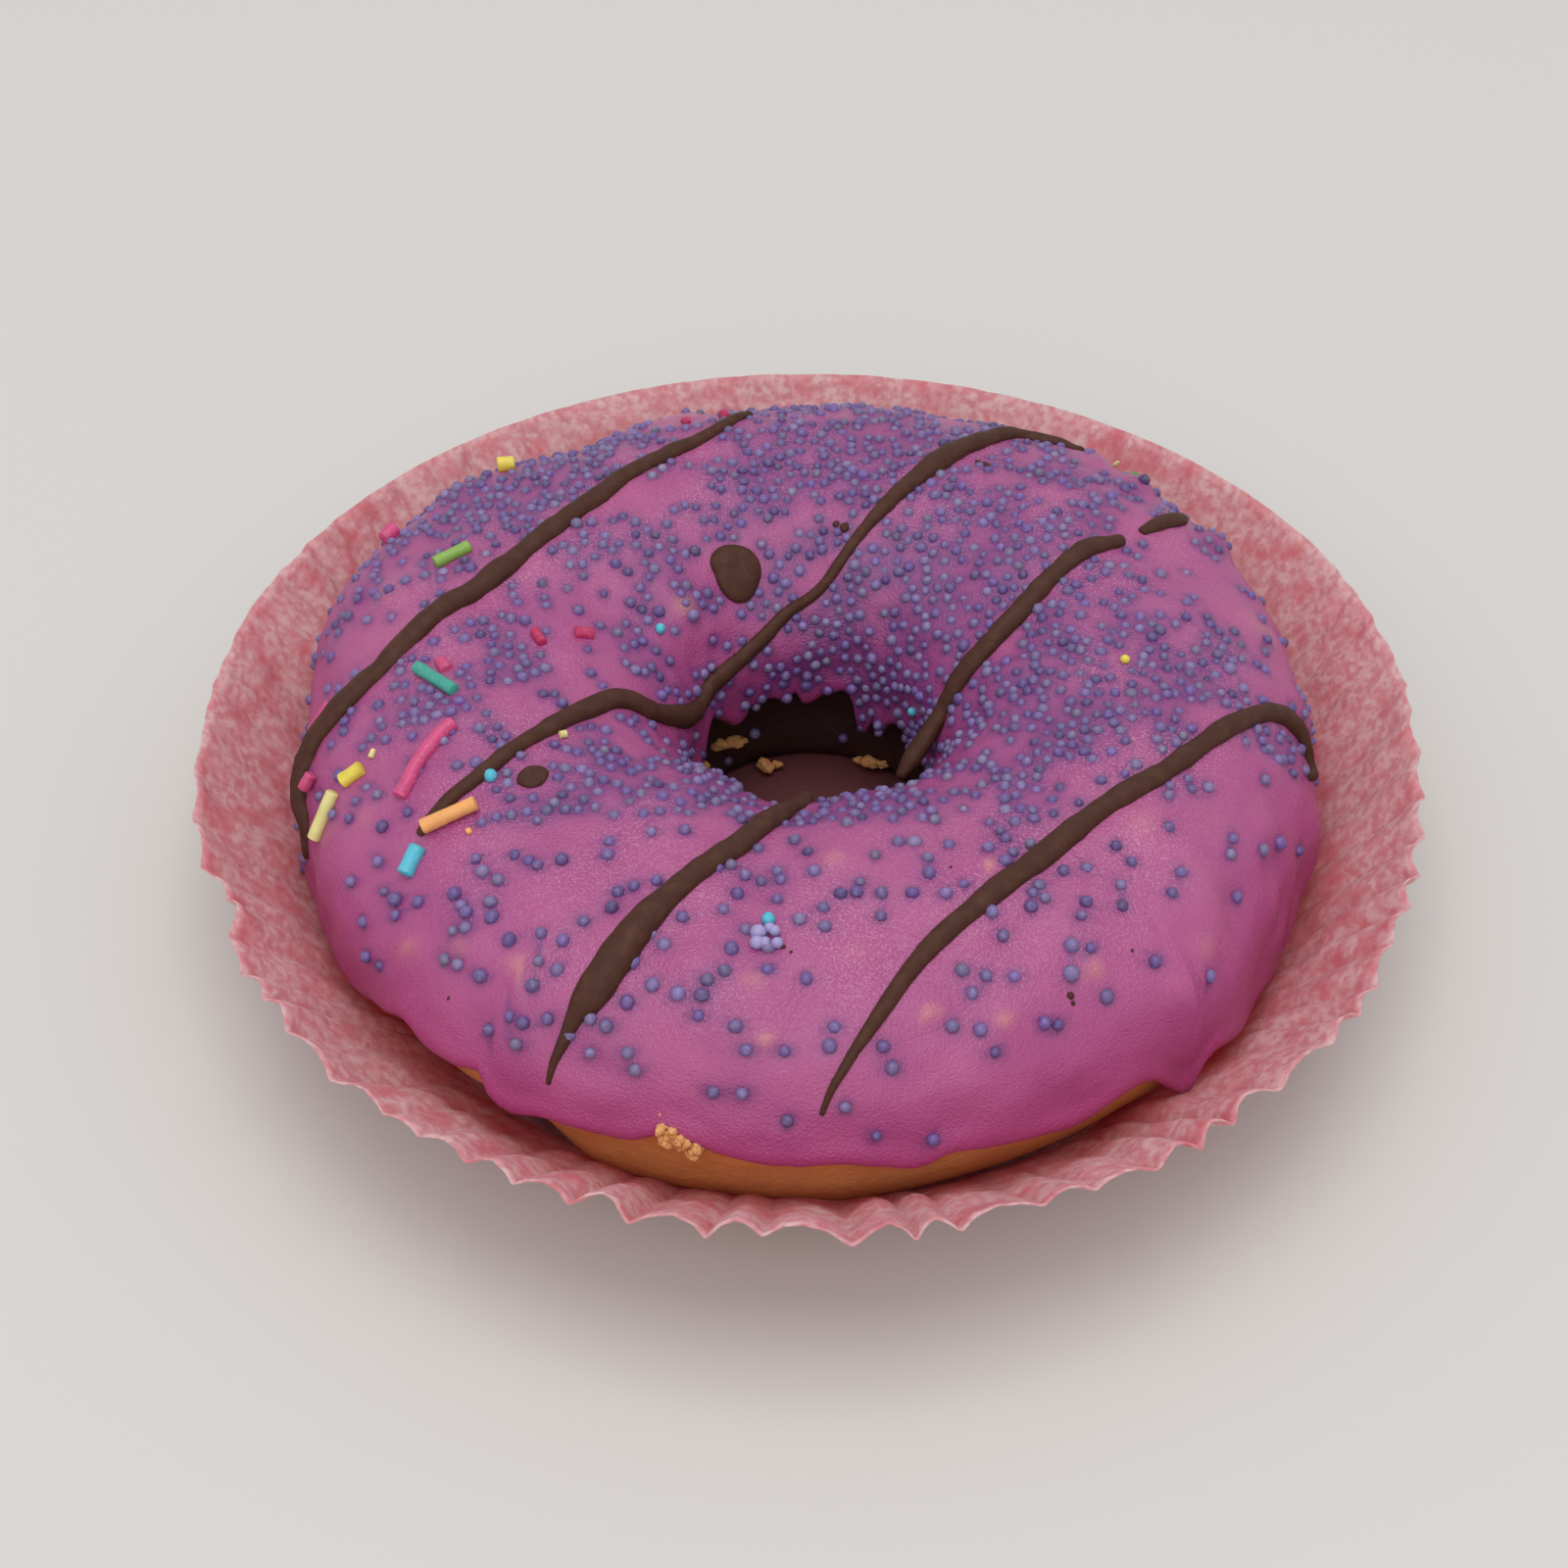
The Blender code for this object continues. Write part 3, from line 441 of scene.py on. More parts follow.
def seen_from_above(x, y):
    """Azimuth and turn of the place at x, y; a place beyond the ring's edge is carried down its side."""
    ring = settings().ring
    x, y = np.asarray(x, float), np.asarray(y, float)
    azimuth = np.degrees(np.arctan2(y, x))
    outward = np.hypot(x, y) - ring.radius / MM
    half_width = ring.half_width / MM + ICING_TOP + np.where(outward > 0, bulge(azimuth, SWELLINGS), 0)
    part = outward / half_width
    top = np.clip(1 - np.abs(part) ** ROUNDNESS[0], 0, 1) ** (1 / ROUNDNESS[0])
    drop = np.minimum((np.abs(part) - 1) * half_width / (ring.below / MM), 0.9)
    over = np.degrees(np.arctan2(top, part))
    down = np.degrees(np.arctan2(-drop, np.sign(part)))
    return azimuth, np.where(np.abs(part) < 1, over, down % 360 - np.where(part > 0, 360, 0))


def icing_point(x, y, grow=ICING_TOP):
    """The point of the icing's surface that is seen from above at x, y."""
    return ring_point(*seen_from_above(x, y), grow)


def read_edge(edge, azimuth):
    """The edge's turn at these azimuths, on a smooth closed line through its points."""
    places = np.array([place for place, _ in edge], float)
    turns = np.array([turn for _, turn in edge], float)
    gaps = (np.roll(places, -1) - places) % 360
    slopes = (np.roll(turns, -1) - np.roll(turns, 1)) / (gaps + np.roll(gaps, 1))
    start = (np.searchsorted(places, azimuth % 360, side="right") - 1) % len(places)
    end = (start + 1) % len(places)
    part = ((azimuth - places[start]) % 360) / gaps[start]
    rise, rest = part**2 * (3 - 2 * part), 1 - part
    bend = slopes[start] * part * rest**2 - slopes[end] * part**2 * rest
    return turns[start] * (1 - rise) + turns[end] * rise + bend * gaps[start]


def side_edge(azimuth):
    """The turn of the icing's edge on the ring's side, with its small drips."""
    line = 46.0 * unit_circle(azimuth)
    drips = 1.3 * ripples(line, 5.0, 31) + 0.9 * ripples(line, 2.6, 32)
    at_front = np.exp(-((wrapped(azimuth - 270) / 58.0) ** 6))
    return read_edge(ICING_EDGE, azimuth) + drips * (1 - 0.75 * at_front)


def hole_edge(azimuth):
    """The turn of the icing's edge in the hole, with its small drips."""
    return read_edge(HOLE_EDGE, azimuth) + 0.7 * ripples(12.0 * unit_circle(azimuth), 2.0, 33)


def ripples(points, size, seed, waves=28):
    """Smooth noise of waves about this long, mostly between -1 and 1."""
    draw = np.random.default_rng(seed)
    directions = draw.normal(size=(waves, points.shape[-1]))
    directions /= np.linalg.norm(directions, axis=1, keepdims=True)
    lengths = size * draw.uniform(0.75, 1.6, waves)
    phases = draw.uniform(0, 2 * np.pi, waves)
    heights = np.sin(points @ (directions / lengths[:, None]).T * 2 * np.pi + phases)
    return heights.sum(-1) / np.sqrt(waves * 2)


def icing_height(azimuth, turn):
    """How far the icing's surface lies above the dough."""
    icing = settings().icing
    base = ring_point(azimuth, turn, ICING_TOP)
    from_edge = np.maximum(edge_distance(azimuth, turn), 0)
    lip = icing.lip / MM
    rounding = np.sqrt(np.clip(1 - (1 - np.clip(from_edge / lip, 0, 1)) ** 2, 0, 1))
    bead = icing.bead / MM * bell((from_edge - 1.3) / 1.5)
    relief = ripples(base, 11.0, 3) + 0.6 * ripples(base, 5.0, 4) + 0.28 * ripples(base, 2.4, 5)
    relief *= icing.relief / MM
    side_ridges = flat_bell(wrapped(azimuth + 16) / 16) * np.clip((62 - turn) / 30, 0, 1)
    relief += 0.22 * side_ridges * np.sin(np.radians(azimuth * 47))
    for x, y, radius, height, _ in LUMPS:
        relief += height * bell(np.linalg.norm(base - icing_point(x, y), axis=-1) / radius)
    soft = np.clip(from_edge / 3.0, 0, 1)
    return icing.gap / MM + (icing.thickness / MM + bead) * rounding + relief * soft


def edge_distance(azimuth, turn):
    """Millimetres from a place on the icing to its nearest edge; less than nothing beyond it."""
    return np.minimum(turn - side_edge(azimuth), hole_edge(azimuth) - turn) * DEGREE_MM


def on_icing(azimuth, turn, lift):
    """Points above the icing's surface by lift, and the directions out of it."""
    surface = ring_point(azimuth, turn, icing_height(azimuth, turn))
    along = ring_point(azimuth + 0.5, turn, ICING_TOP) - ring_point(azimuth - 0.5, turn, ICING_TOP)
    over = ring_point(azimuth, turn + 0.5, ICING_TOP) - ring_point(azimuth, turn - 0.5, ICING_TOP)
    out = np.cross(along, over)
    out /= np.linalg.norm(out, axis=-1, keepdims=True)
    return surface + out * np.asarray(lift)[..., None], out


def laid_on_icing(places, lift):
    """Points at these places seen from above, this far over the icing, and the directions out of it."""
    azimuth, turn = seen_from_above(places[:, 0], places[:, 1])
    return on_icing(azimuth, turn, np.full(len(places), lift))


# Meshes.


def select_only(*pieces):
    """Selects these pieces alone and makes the first one active."""
    bpy.ops.object.select_all(action="DESELECT")
    for piece in pieces:
        piece.select_set(True)
    bpy.context.view_layer.objects.active = pieces[0]


def new_piece(name):
    """Names the active object and its mesh."""
    piece = bpy.context.object
    piece.name = name
    piece.data.name = name
    return piece


def add_piece(name, primitive, **sizes):
    """Adds a primitive with nothing else selected, and names it."""
    bpy.ops.object.select_all(action="DESELECT")
    primitive(**sizes)
    return new_piece(name)


def read_points(piece):
    """The mesh's points in millimetres."""
    points = np.empty(len(piece.data.vertices) * 3)
    piece.data.vertices.foreach_get("co", points)
    return points.reshape(-1, 3) / MM


def write_points(piece, points):
    """Moves the mesh's points, given in millimetres."""
    piece.data.vertices.foreach_set("co", (points * MM).ravel())
    piece.data.update()


def edit_all(piece, operator, **choices):
    """Runs an edit mode operator on all of a piece."""
    select_only(piece)
    bpy.ops.object.mode_set(mode="EDIT")
    bpy.ops.mesh.select_all(action="SELECT")
    operator(**choices)
    bpy.ops.object.mode_set(mode="OBJECT")


def merge_doubles(piece, distance):
    """Joins points that lie on each other, which closes seams and poles."""
    edit_all(piece, bpy.ops.mesh.remove_doubles, threshold=distance)


def face_outwards(piece):
    """Turns every face of a closed piece outwards."""
    edit_all(piece, bpy.ops.mesh.normals_make_consistent, inside=False)


def smooth(piece):
    """Shades the piece smooth."""
    select_only(piece)
    bpy.ops.object.shade_smooth()


def join(name, pieces):
    """Joins pieces into one."""
    select_only(*pieces)
    bpy.ops.object.join()
    return new_piece(name)


def paint(piece, name, values):
    """Writes one number for each point of the mesh."""
    layer = piece.data.attributes.new(name, "FLOAT", "POINT")
    layer.data.foreach_set("value", np.asarray(values, float))


def tint(piece, name, colours):
    """Writes one colour for each point of the mesh."""
    layer = piece.data.attributes.new(name, "FLOAT_COLOR", "POINT")
    full = np.ones((len(colours), 4))
    full[:, :3] = colours
    layer.data.foreach_set("color", full.ravel())


def place(piece, slot, material, replaced=None):
    """Gives the piece its material, hangs it from the root and hides the part it replaces."""
    piece.data.materials.clear()
    piece.data.materials.append(material)
    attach(piece, "root")
    if replaced:
        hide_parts(replaced)


def smooth_path(points, step):
    """A smooth line through the points, with a new point about every step."""
    points = np.array(points, float)
    before = np.vstack([2 * points[0] - points[1], points[:-1]])
    after = np.vstack([points[1:], 2 * points[-1] - points[-2]])
    slopes = (after - before) / 2
    line = []
    for start in range(len(points) - 1):
        count = max(int(np.linalg.norm(points[start + 1, :2] - points[start, :2]) / step), 1)
        part = np.linspace(0, 1, count, endpoint=False)[:, None]
        rise = part**2 * (3 - 2 * part)
        bend = slopes[start] * part * (1 - part) ** 2 - slopes[start + 1] * part**2 * (1 - part)
        line.append(points[start] * (1 - rise) + points[start + 1] * rise + bend)
    return np.vstack([*line, points[-1:]])


def roll_tube(name, middle, out, across, upward, around, end=(0.72, 0.6, 0.85)):
    """A closed tube along a line on the icing, from its half width across and its half height upward.
    Its end is one ring of the first share of the width, pushed out by the second, and a tip by the third."""
    count = len(middle)
    grid = bpy.ops.mesh.primitive_grid_add
    tube = add_piece(name, grid, x_subdivisions=around, y_subdivisions=count + 3, size=1.0)
    sheet = read_points(tube) * MM
    angle_round = (sheet[:, 0] + 0.5) * 2 * np.pi
    row = np.rint((sheet[:, 1] + 0.5) * (count + 3)).astype(int)
    ends = np.clip(row - 2, 0, count - 1)
    rows = [row == 0, row == 1, row == count + 2, row == count + 3]
    shrink = np.select(rows, [0.0, end[0], end[0], 0.0], 1.0)
    push = np.select(rows, [-end[2], -end[1], end[1], end[2]], 0.0)
    forward = np.gradient(middle, axis=0)
    forward /= np.linalg.norm(forward, axis=1, keepdims=True)
    side = np.cross(forward, out)
    side /= np.linalg.norm(side, axis=1, keepdims=True)
    up = np.cross(side, forward)
    wide = (across[ends] * shrink * np.cos(angle_round))[:, None]
    high = (upward[ends] * shrink * np.sin(angle_round))[:, None]
    reach = (np.minimum(across, upward)[ends] * push)[:, None]
    write_points(tube, middle[ends] + side[ends] * wide + up[ends] * high + forward[ends] * reach)
    merge_doubles(tube, 1e-7)
    face_outwards(tube)
    return tube


def strand_lines():
    """The drizzle's lines on the icing: points, directions out of it, and widths."""
    lines = []
    for number, strand in enumerate(STRANDS):
        path = smooth_path(strand, 0.45)
        middle, out = laid_on_icing(path, 0.05)
        width = path[:, 2]
        for strand_number, at_start, points in OVERHANGS:
            if strand_number == number:
                middle, out, width = overhang(middle, out, width, at_start, points)
        wander = ripples(middle, 5.0, 40 + number) * 0.10 + ripples(middle, 1.8, 50 + number) * 0.05
        lines.append((middle, out, width * (1 + wander)))
    return lines


def overhang(middle, out, width, at_start, points):
    """Carries a strand on past its end, through these free points."""
    if at_start:
        middle, out, width = middle[::-1], out[::-1], width[::-1]
    free = smooth_path([(*middle[-1], width[-1]), *points], 0.45)[1:]
    middle = np.vstack([middle, free[:, :3]])
    out = np.vstack([out, np.tile(out[-1], (len(free), 1))])
    width = np.hstack([width, free[:, 3]])
    if at_start:
        middle, out, width = middle[::-1], out[::-1], width[::-1]
    return middle, out, width


def pearl_thickness(x, y):
    """How thick the pearls lie at this place seen from above, from 0 to 1."""
    amount = 0.09
    for middle_x, middle_y, reach, more in PEARL_PATCHES:
        amount = amount + more * bell(np.hypot(x - middle_x, y - middle_y) / reach)
    for middle_x, middle_y, reach, less in BARE_PATCHES:
        amount = amount * (1 - less * bell(np.hypot(x - middle_x, y - middle_y) / reach))
    return np.minimum(amount, 1.0)


def taken_places():
    """Places that scattered pearls keep clear of, and the room that each one needs."""
    strands = strand_lines()
    taken = [middle[::2] for middle, _, _ in strands]
    room = [width[::2] / 2 + 0.25 for _, _, width in strands]
    for x, y, _, radii in SPOTS:
        taken.append(icing_point(x, y)[None])
        room.append(np.array([max(radii) + 0.2]))
    for start, end, width, _, _ in RODS:
        line = np.linspace(start, end, 5)
        taken.append(icing_point(line[:, 0], line[:, 1]))
        room.append(np.full(5, width / 2 + 0.5))
    for x, y, _ in ODD_PEARLS:
        taken.append(icing_point(x, y)[None])
        room.append(np.array([1.2]))
    taken.append(icing_point(*np.array(SINGLE_PEARLS).T))
    room.append(np.full(len(SINGLE_PEARLS), 1.05))
    return np.vstack(taken), np.hstack(room)


def pick_apart(places, most):
    """Numbers of the places that lie clear of all else and of each other, up to this many."""
    taken, room = taken_places()
    chosen = np.zeros((most, 3))
    picked = []
    for number, point in enumerate(places):
        if (np.linalg.norm(taken - point, axis=1) < room).any():
            continue
        if (np.linalg.norm(chosen[:len(picked)] - point, axis=1) < PEARL_SPACING).any():
            continue
        chosen[len(picked)] = point
        picked.append(number)
        if len(picked) == most:
            break
    return picked


def pearl_places():
    """Middles of the pearls on the icing, and the directions out of it."""
    sugar = settings().sugar
    draw = np.random.default_rng(sugar.seed)
    azimuth = draw.uniform(0, 360, PEARL_TRIES)
    turn = draw.uniform(-26, 200, PEARL_TRIES)
    inside = (turn > side_edge(azimuth) + 5) & (turn < hole_edge(azimuth) - 4)
    azimuth, turn = azimuth[inside], turn[inside]
    places = ring_point(azimuth, turn, ICING_TOP)
    x, y = places[:, 0], places[:, 1]
    clumps = np.clip(0.75 + 0.9 * ripples(places, 4.5, 21) + 0.8 * ripples(places, 2.4, 22), 0.05, 2.0)
    thick = pearl_thickness(x, y) * clumps
    thick *= np.where((turn < 0) & (azimuth > 200) & (azimuth < 350), 0.35, 1.0)
    thick *= 1 - 0.65 * np.clip((48 - turn) / 20, 0, 1) * flat_bell(wrapped(azimuth - 185) / 42.0)
    thick *= 1 - 0.45 * np.clip((45 - turn) / 20, 0, 1) * flat_bell(wrapped(azimuth - 10) / 45.0)
    front = (y < -19.5) | ((x > 33) & (y < -8)) | ((x < -31) & (y < -14))
    keep = (draw.uniform(0, 1, len(x)) < thick * np.hypot(x, y) / 46.0) & ~front
    azimuth, turn = azimuth[keep], turn[keep]
    picked = pick_apart(places[keep], sugar.pearls)
    single_azimuth, single_turn = seen_from_above(*np.array(SINGLE_PEARLS).T)
    azimuth = np.concatenate([single_azimuth, azimuth[picked]])
    turn = np.concatenate([single_turn, turn[picked]])
    lift = sugar.lift / MM + draw.normal(0, 0.06, len(azimuth))
    lift[:len(single_azimuth)] += 0.12
    return on_icing(azimuth, turn, lift)


# Materials.


def set_inputs(tree, node, inputs):
    """Gives each of these inputs a value or a link."""
    for name, value in inputs.items():
        if isinstance(value, bpy.types.NodeSocket):
            tree.links.new(value, node.inputs[name])
        else:
            node.inputs[name].default_value = value


def add_node(tree, kind, inputs=None, **choices):
    """Adds a node, makes its choices and sets its inputs."""
    node = tree.nodes.new(kind)
    for name, value in choices.items():
        setattr(node, name, value)
    set_inputs(tree, node, inputs or {})
    return node


def mix_colours(tree, part, first, second):
    """Mixes two colours."""
    node = add_node(tree, "ShaderNodeMix", {0: part, 6: first, 7: second}, data_type="RGBA")
    return node.outputs[2]


def solid(rgb):
    """A colour with full alpha."""
    return (*rgb, 1.0)


def new_material(name):
    """A material with only a shader and its output, its node tree, and the shader."""
    material = bpy.data.materials.new(name)
    material.use_nodes = True
    tree = material.node_tree
    tree.nodes.clear()
    shader = tree.nodes.new("ShaderNodeBsdfPrincipled")
    output = tree.nodes.new("ShaderNodeOutputMaterial")
    tree.links.new(shader.outputs["BSDF"], output.inputs["Surface"])
    return material, tree, shader


def new_group(name, inputs, outputs):
    """An empty node group with these sockets."""
    group = bpy.data.node_groups.new(name, "ShaderNodeTree")
    for label, kind, value in inputs:
        socket = group.interface.new_socket(label, in_out="INPUT", socket_type=kind)
        socket.default_value = value
    for label, kind in outputs:
        group.interface.new_socket(label, in_out="OUTPUT", socket_type=kind)
    return group, group.nodes.new("NodeGroupInput"), group.nodes.new("NodeGroupOutput")


def grain_group():
    """Fine grain: the height of small soft bumps, and a mask of their tops."""
    if "Fine grain" in bpy.data.node_groups:
        return bpy.data.node_groups["Fine grain"]
    group, given, result = new_group(
        "Fine grain",
        [("Scale", "NodeSocketFloat", 3000.0), ("Detail", "NodeSocketFloat", 2.0)],
        [("Height", "NodeSocketFloat"), ("Mask", "NodeSocketFloat")],
    )
    place_node = add_node(group, "ShaderNodeTexCoord")
    noise = add_node(
        group,
        "ShaderNodeTexNoise",
        {
            "Vector": place_node.outputs["Object"],
            "Scale": given.outputs["Scale"],
            "Detail": given.outputs["Detail"],
            "Roughness": 0.55,
        },
    )
    tops = add_node(group, "ShaderNodeMapRange", {0: noise.outputs["Fac"], 1: 0.52, 2: 0.70}, clamp=True)
    group.links.new(noise.outputs["Fac"], result.inputs["Height"])
    group.links.new(tops.outputs[0], result.inputs["Mask"])
    return group


def tint_group():
    """Uneven tint: two colours in soft patches."""
    if "Uneven tint" in bpy.data.node_groups:
        return bpy.data.node_groups["Uneven tint"]
    group, given, result = new_group(
        "Uneven tint",
        [
            ("Colour", "NodeSocketColor", (1, 1, 1, 1)),
            ("Patches", "NodeSocketColor", (0, 0, 0, 1)),
            ("Scale", "NodeSocketFloat", 200.0),
            ("Low", "NodeSocketFloat", 0.35),
            ("High", "NodeSocketFloat", 0.65),
        ],
        [("Colour", "NodeSocketColor")],
    )
    place_node = add_node(group, "ShaderNodeTexCoord")
    noise = add_node(
        group,
        "ShaderNodeTexNoise",
        {"Vector": place_node.outputs["Object"], "Scale": given.outputs["Scale"], "Detail": 4.0},
    )
    part = add_node(
        group,
        "ShaderNodeMapRange",
        {0: noise.outputs["Fac"], 1: given.outputs["Low"], 2: given.outputs["High"]},
        clamp=True,
    )
    mixed = mix_colours(group, part.outputs[0], given.outputs["Colour"], given.outputs["Patches"])
    group.links.new(mixed, result.inputs["Colour"])
    return group


def patchy(tree, colour_there, patches, scale, low, high):
    """One colour with soft patches of another."""
    inputs = {"Colour": colour_there, "Patches": patches, "Scale": scale, "Low": low, "High": high}
    return add_node(tree, "ShaderNodeGroup", inputs, node_tree=tint_group()).outputs["Colour"]


def grain(tree, scale, detail):
    """Fine grain of this scale, as its outputs."""
    return add_node(
        tree, "ShaderNodeGroup", {"Scale": scale, "Detail": detail}, node_tree=grain_group()
    ).outputs


def shaded(rgb, shades):
    """A colour with each of its parts changed by its own shade."""
    return solid([part * shade for part, shade in zip(rgb, shades)])


def bump(tree, height, distance, strength, normal=None):
    """Turns a height into a normal; distance is in metres."""
    inputs = {"Height": height, "Distance": distance, "Strength": strength}
    if normal:
        inputs["Normal"] = normal
    return add_node(tree, "ShaderNodeBump", inputs).outputs["Normal"]


def attribute(tree, name, output="Fac"):
    """Reads a number or colour that was written on the mesh."""
    return add_node(tree, "ShaderNodeAttribute", attribute_name=name).outputs[output]


def icing_material():
    """Waxy pink icing, violet where pearls have bled, with a fine hammered grain and painted glints on its
    top.
    """
    icing = settings().icing
    material, tree, shader = new_material("pink icing")
    paler = shaded(icing.colour, (1.12, 1.35, 1.10))
    ground = patchy(tree, solid(icing.colour), paler, 110.0, 0.40, 0.68)
    ground = mix_colours(tree, attribute(tree, "rim"), ground, solid(icing.edge_colour))
    ground = mix_colours(tree, attribute(tree, "bleed"), ground, solid(icing.bleed_colour))
    # Dark violet ring round each pearl: colour bleed and painted contact shade.
    ground = mix_colours(tree, attribute(tree, "halo_bleed_and_shade"), ground, (0.105, 0.026, 0.140, 1.0))
    ground = mix_colours(tree, attribute(tree, "dough"), ground, (0.62, 0.270, 0.165, 1.0))
    # Painted glints: pale specks on the top of the ring stand in for highlights.
    specks = {0: grain(tree, 5200.0, 0.0)["Mask"], 1: attribute(tree, "pale_specks")}
    painted_glints = add_node(tree, "ShaderNodeMath", specks, operation="MULTIPLY")
    ground = mix_colours(tree, painted_glints.outputs[0], ground, (0.66, 0.33, 0.51, 1.0))
    waves = grain(tree, 900.0, 2.0)["Height"]
    rough = add_node(tree, "ShaderNodeMapRange", {0: waves, 3: 0.26, 4: 0.44})
    normal = bump(tree, waves, 0.00012, 0.45)
    set_inputs(tree, shader, {
        "Base Color": ground,
        "Roughness": rough.outputs[0],
        "Normal": bump(tree, grain(tree, 4600.0, 1.0)["Height"], 0.00011, 1.0, normal),
        "Subsurface Weight": 0.22,
        "Subsurface Radius": (1.0, 0.35, 0.6),
        "Subsurface Scale": 0.0012,
    })
    return material


def dough_material():
    """Golden fried dough, paler in a band and in soft patches, with painted shade below, in the hole and
    just under the icing.
    """
    ring = settings().ring
    material, tree, shader = new_material("golden dough")
    browner = shaded(ring.colour, (0.80, 0.62, 0.50))
    ground = patchy(tree, solid(ring.colour), browner, 170.0, 0.42, 0.72)
    ground = mix_colours(tree, attribute(tree, "pale"), ground, solid(ring.pale))
    # Painted shade: the dark dough colour where shadow falls.
    ground = mix_colours(tree, attribute(tree, "dough_shade"), ground, solid(ring.dough_shade))
    wrinkles = bump(tree, grain(tree, 420.0, 3.0)["Height"], 0.0004, 0.6)
    set_inputs(tree, shader, {
        "Base Color": ground,
        "Roughness": 0.52,
        "Normal": bump(tree, grain(tree, 1500.0, 3.0)["Height"], 0.00016, 0.8, wrinkles),
        "Subsurface Weight": 0.12,
        "Subsurface Radius": (1.0, 0.4, 0.15),
        "Subsurface Scale": 0.0015,
    })
    return material


def paper_material():
    """Thin pink paper: cloudy pale fibres, red where it was rubbed, dark red near the dough where fat soaks
    in and painted shade falls, and painted shade on the floor in the hole.
    """
    case = settings().case
    material, tree, shader = new_material("pink paper")
    ground = patchy(tree, solid(case.colour), solid(case.fibre), 1150.0, 0.40, 0.62)
    ground = patchy(tree, ground, solid(case.deep), 300.0, 0.47, 0.74)
    sheet = add_node(tree, "ShaderNodeUVMap", uv_map="sheet")
    streaks = add_node(
        tree, "ShaderNodeMapping", {"Vector": sheet.outputs["UV"], "Scale": (300.0, 26.0, 1.0)}
    )
    fibres = add_node(
        tree,
        "ShaderNodeTexNoise",
        {"Vector": streaks.outputs[0], "Scale": 1.0, "Detail": 5.0, "Distortion": 0.8},
    )
    thin = add_node(tree, "ShaderNodeMapRange", {0: fibres.outputs["Fac"], 1: 0.50, 2: 0.78, 4: 0.55})
    ground = mix_colours(tree, thin.outputs[0], ground, solid(case.fibre))
    ground = mix_colours(tree, attribute(tree, "rubbed"), ground, solid(case.deep))
    # Painted shade: dark red near the dough and on the floor in the hole, partly fat soaking in.
    ground = mix_colours(tree, attribute(tree, "soaked_and_shaded"), ground, solid(case.soaked_and_shaded))
    normal = bump(tree, fibres.outputs["Fac"], 0.00015, 0.5)
    set_inputs(tree, shader, {
        "Base Color": ground,
        "Roughness": 0.60,
        "Normal": bump(tree, grain(tree, 1300.0, 4.0)["Height"], 0.00016, 0.6, normal),
        "Subsurface Weight": 0.65,
        "Subsurface Radius": (1.0, 0.5, 0.5),
        "Subsurface Scale": 0.0010,
    })
    return material


def chocolate_material():
    """Dull dark chocolate with a little bloom."""
    drizzle = settings().drizzle
    material, tree, shader = new_material("dark chocolate")
    set_inputs(tree, shader, {
        "Base Color": patchy(tree, solid(drizzle.colour), solid(drizzle.bloom), 900.0, 0.45, 0.80),
        "Roughness": 0.58,
        "Normal": bump(tree, grain(tree, 2400.0, 3.0)["Height"], 0.00010, 0.8),
        "Specular IOR Level": 0.20,
    })
    return material


def sugar_material():
    """Matt sugar, its colour read from the mesh."""
    if "coloured sugar" in bpy.data.materials:
        return bpy.data.materials["coloured sugar"]
    material, tree, shader = new_material("coloured sugar")
    own = attribute(tree, "sugar", "Color")
    pale_specks = grain(tree, 2600.0, 2.0)
    part = add_node(tree, "ShaderNodeMath", {0: pale_specks["Mask"], 1: 0.08}, operation="MULTIPLY")
    set_inputs(tree, shader, {
        "Base Color": mix_colours(tree, part.outputs[0], own, (0.80, 0.78, 0.86, 1.0)),
        "Roughness": 0.42,
        "Normal": bump(tree, pale_specks["Height"], 0.00008, 0.8),
    })
    return material


def crumb_material():
    """Pale inside of the dough."""
    ring = settings().ring
    material, tree, shader = new_material("crumb")
    set_inputs(tree, shader, {
        "Base Color": patchy(tree, solid(ring.pale), solid(ring.colour), 900.0, 0.40, 0.70),
        "Roughness": 0.8,
        "Normal": bump(tree, grain(tree, 2600.0, 3.0)["Height"], 0.00025, 1.0),
    })
    return material


# Pieces.


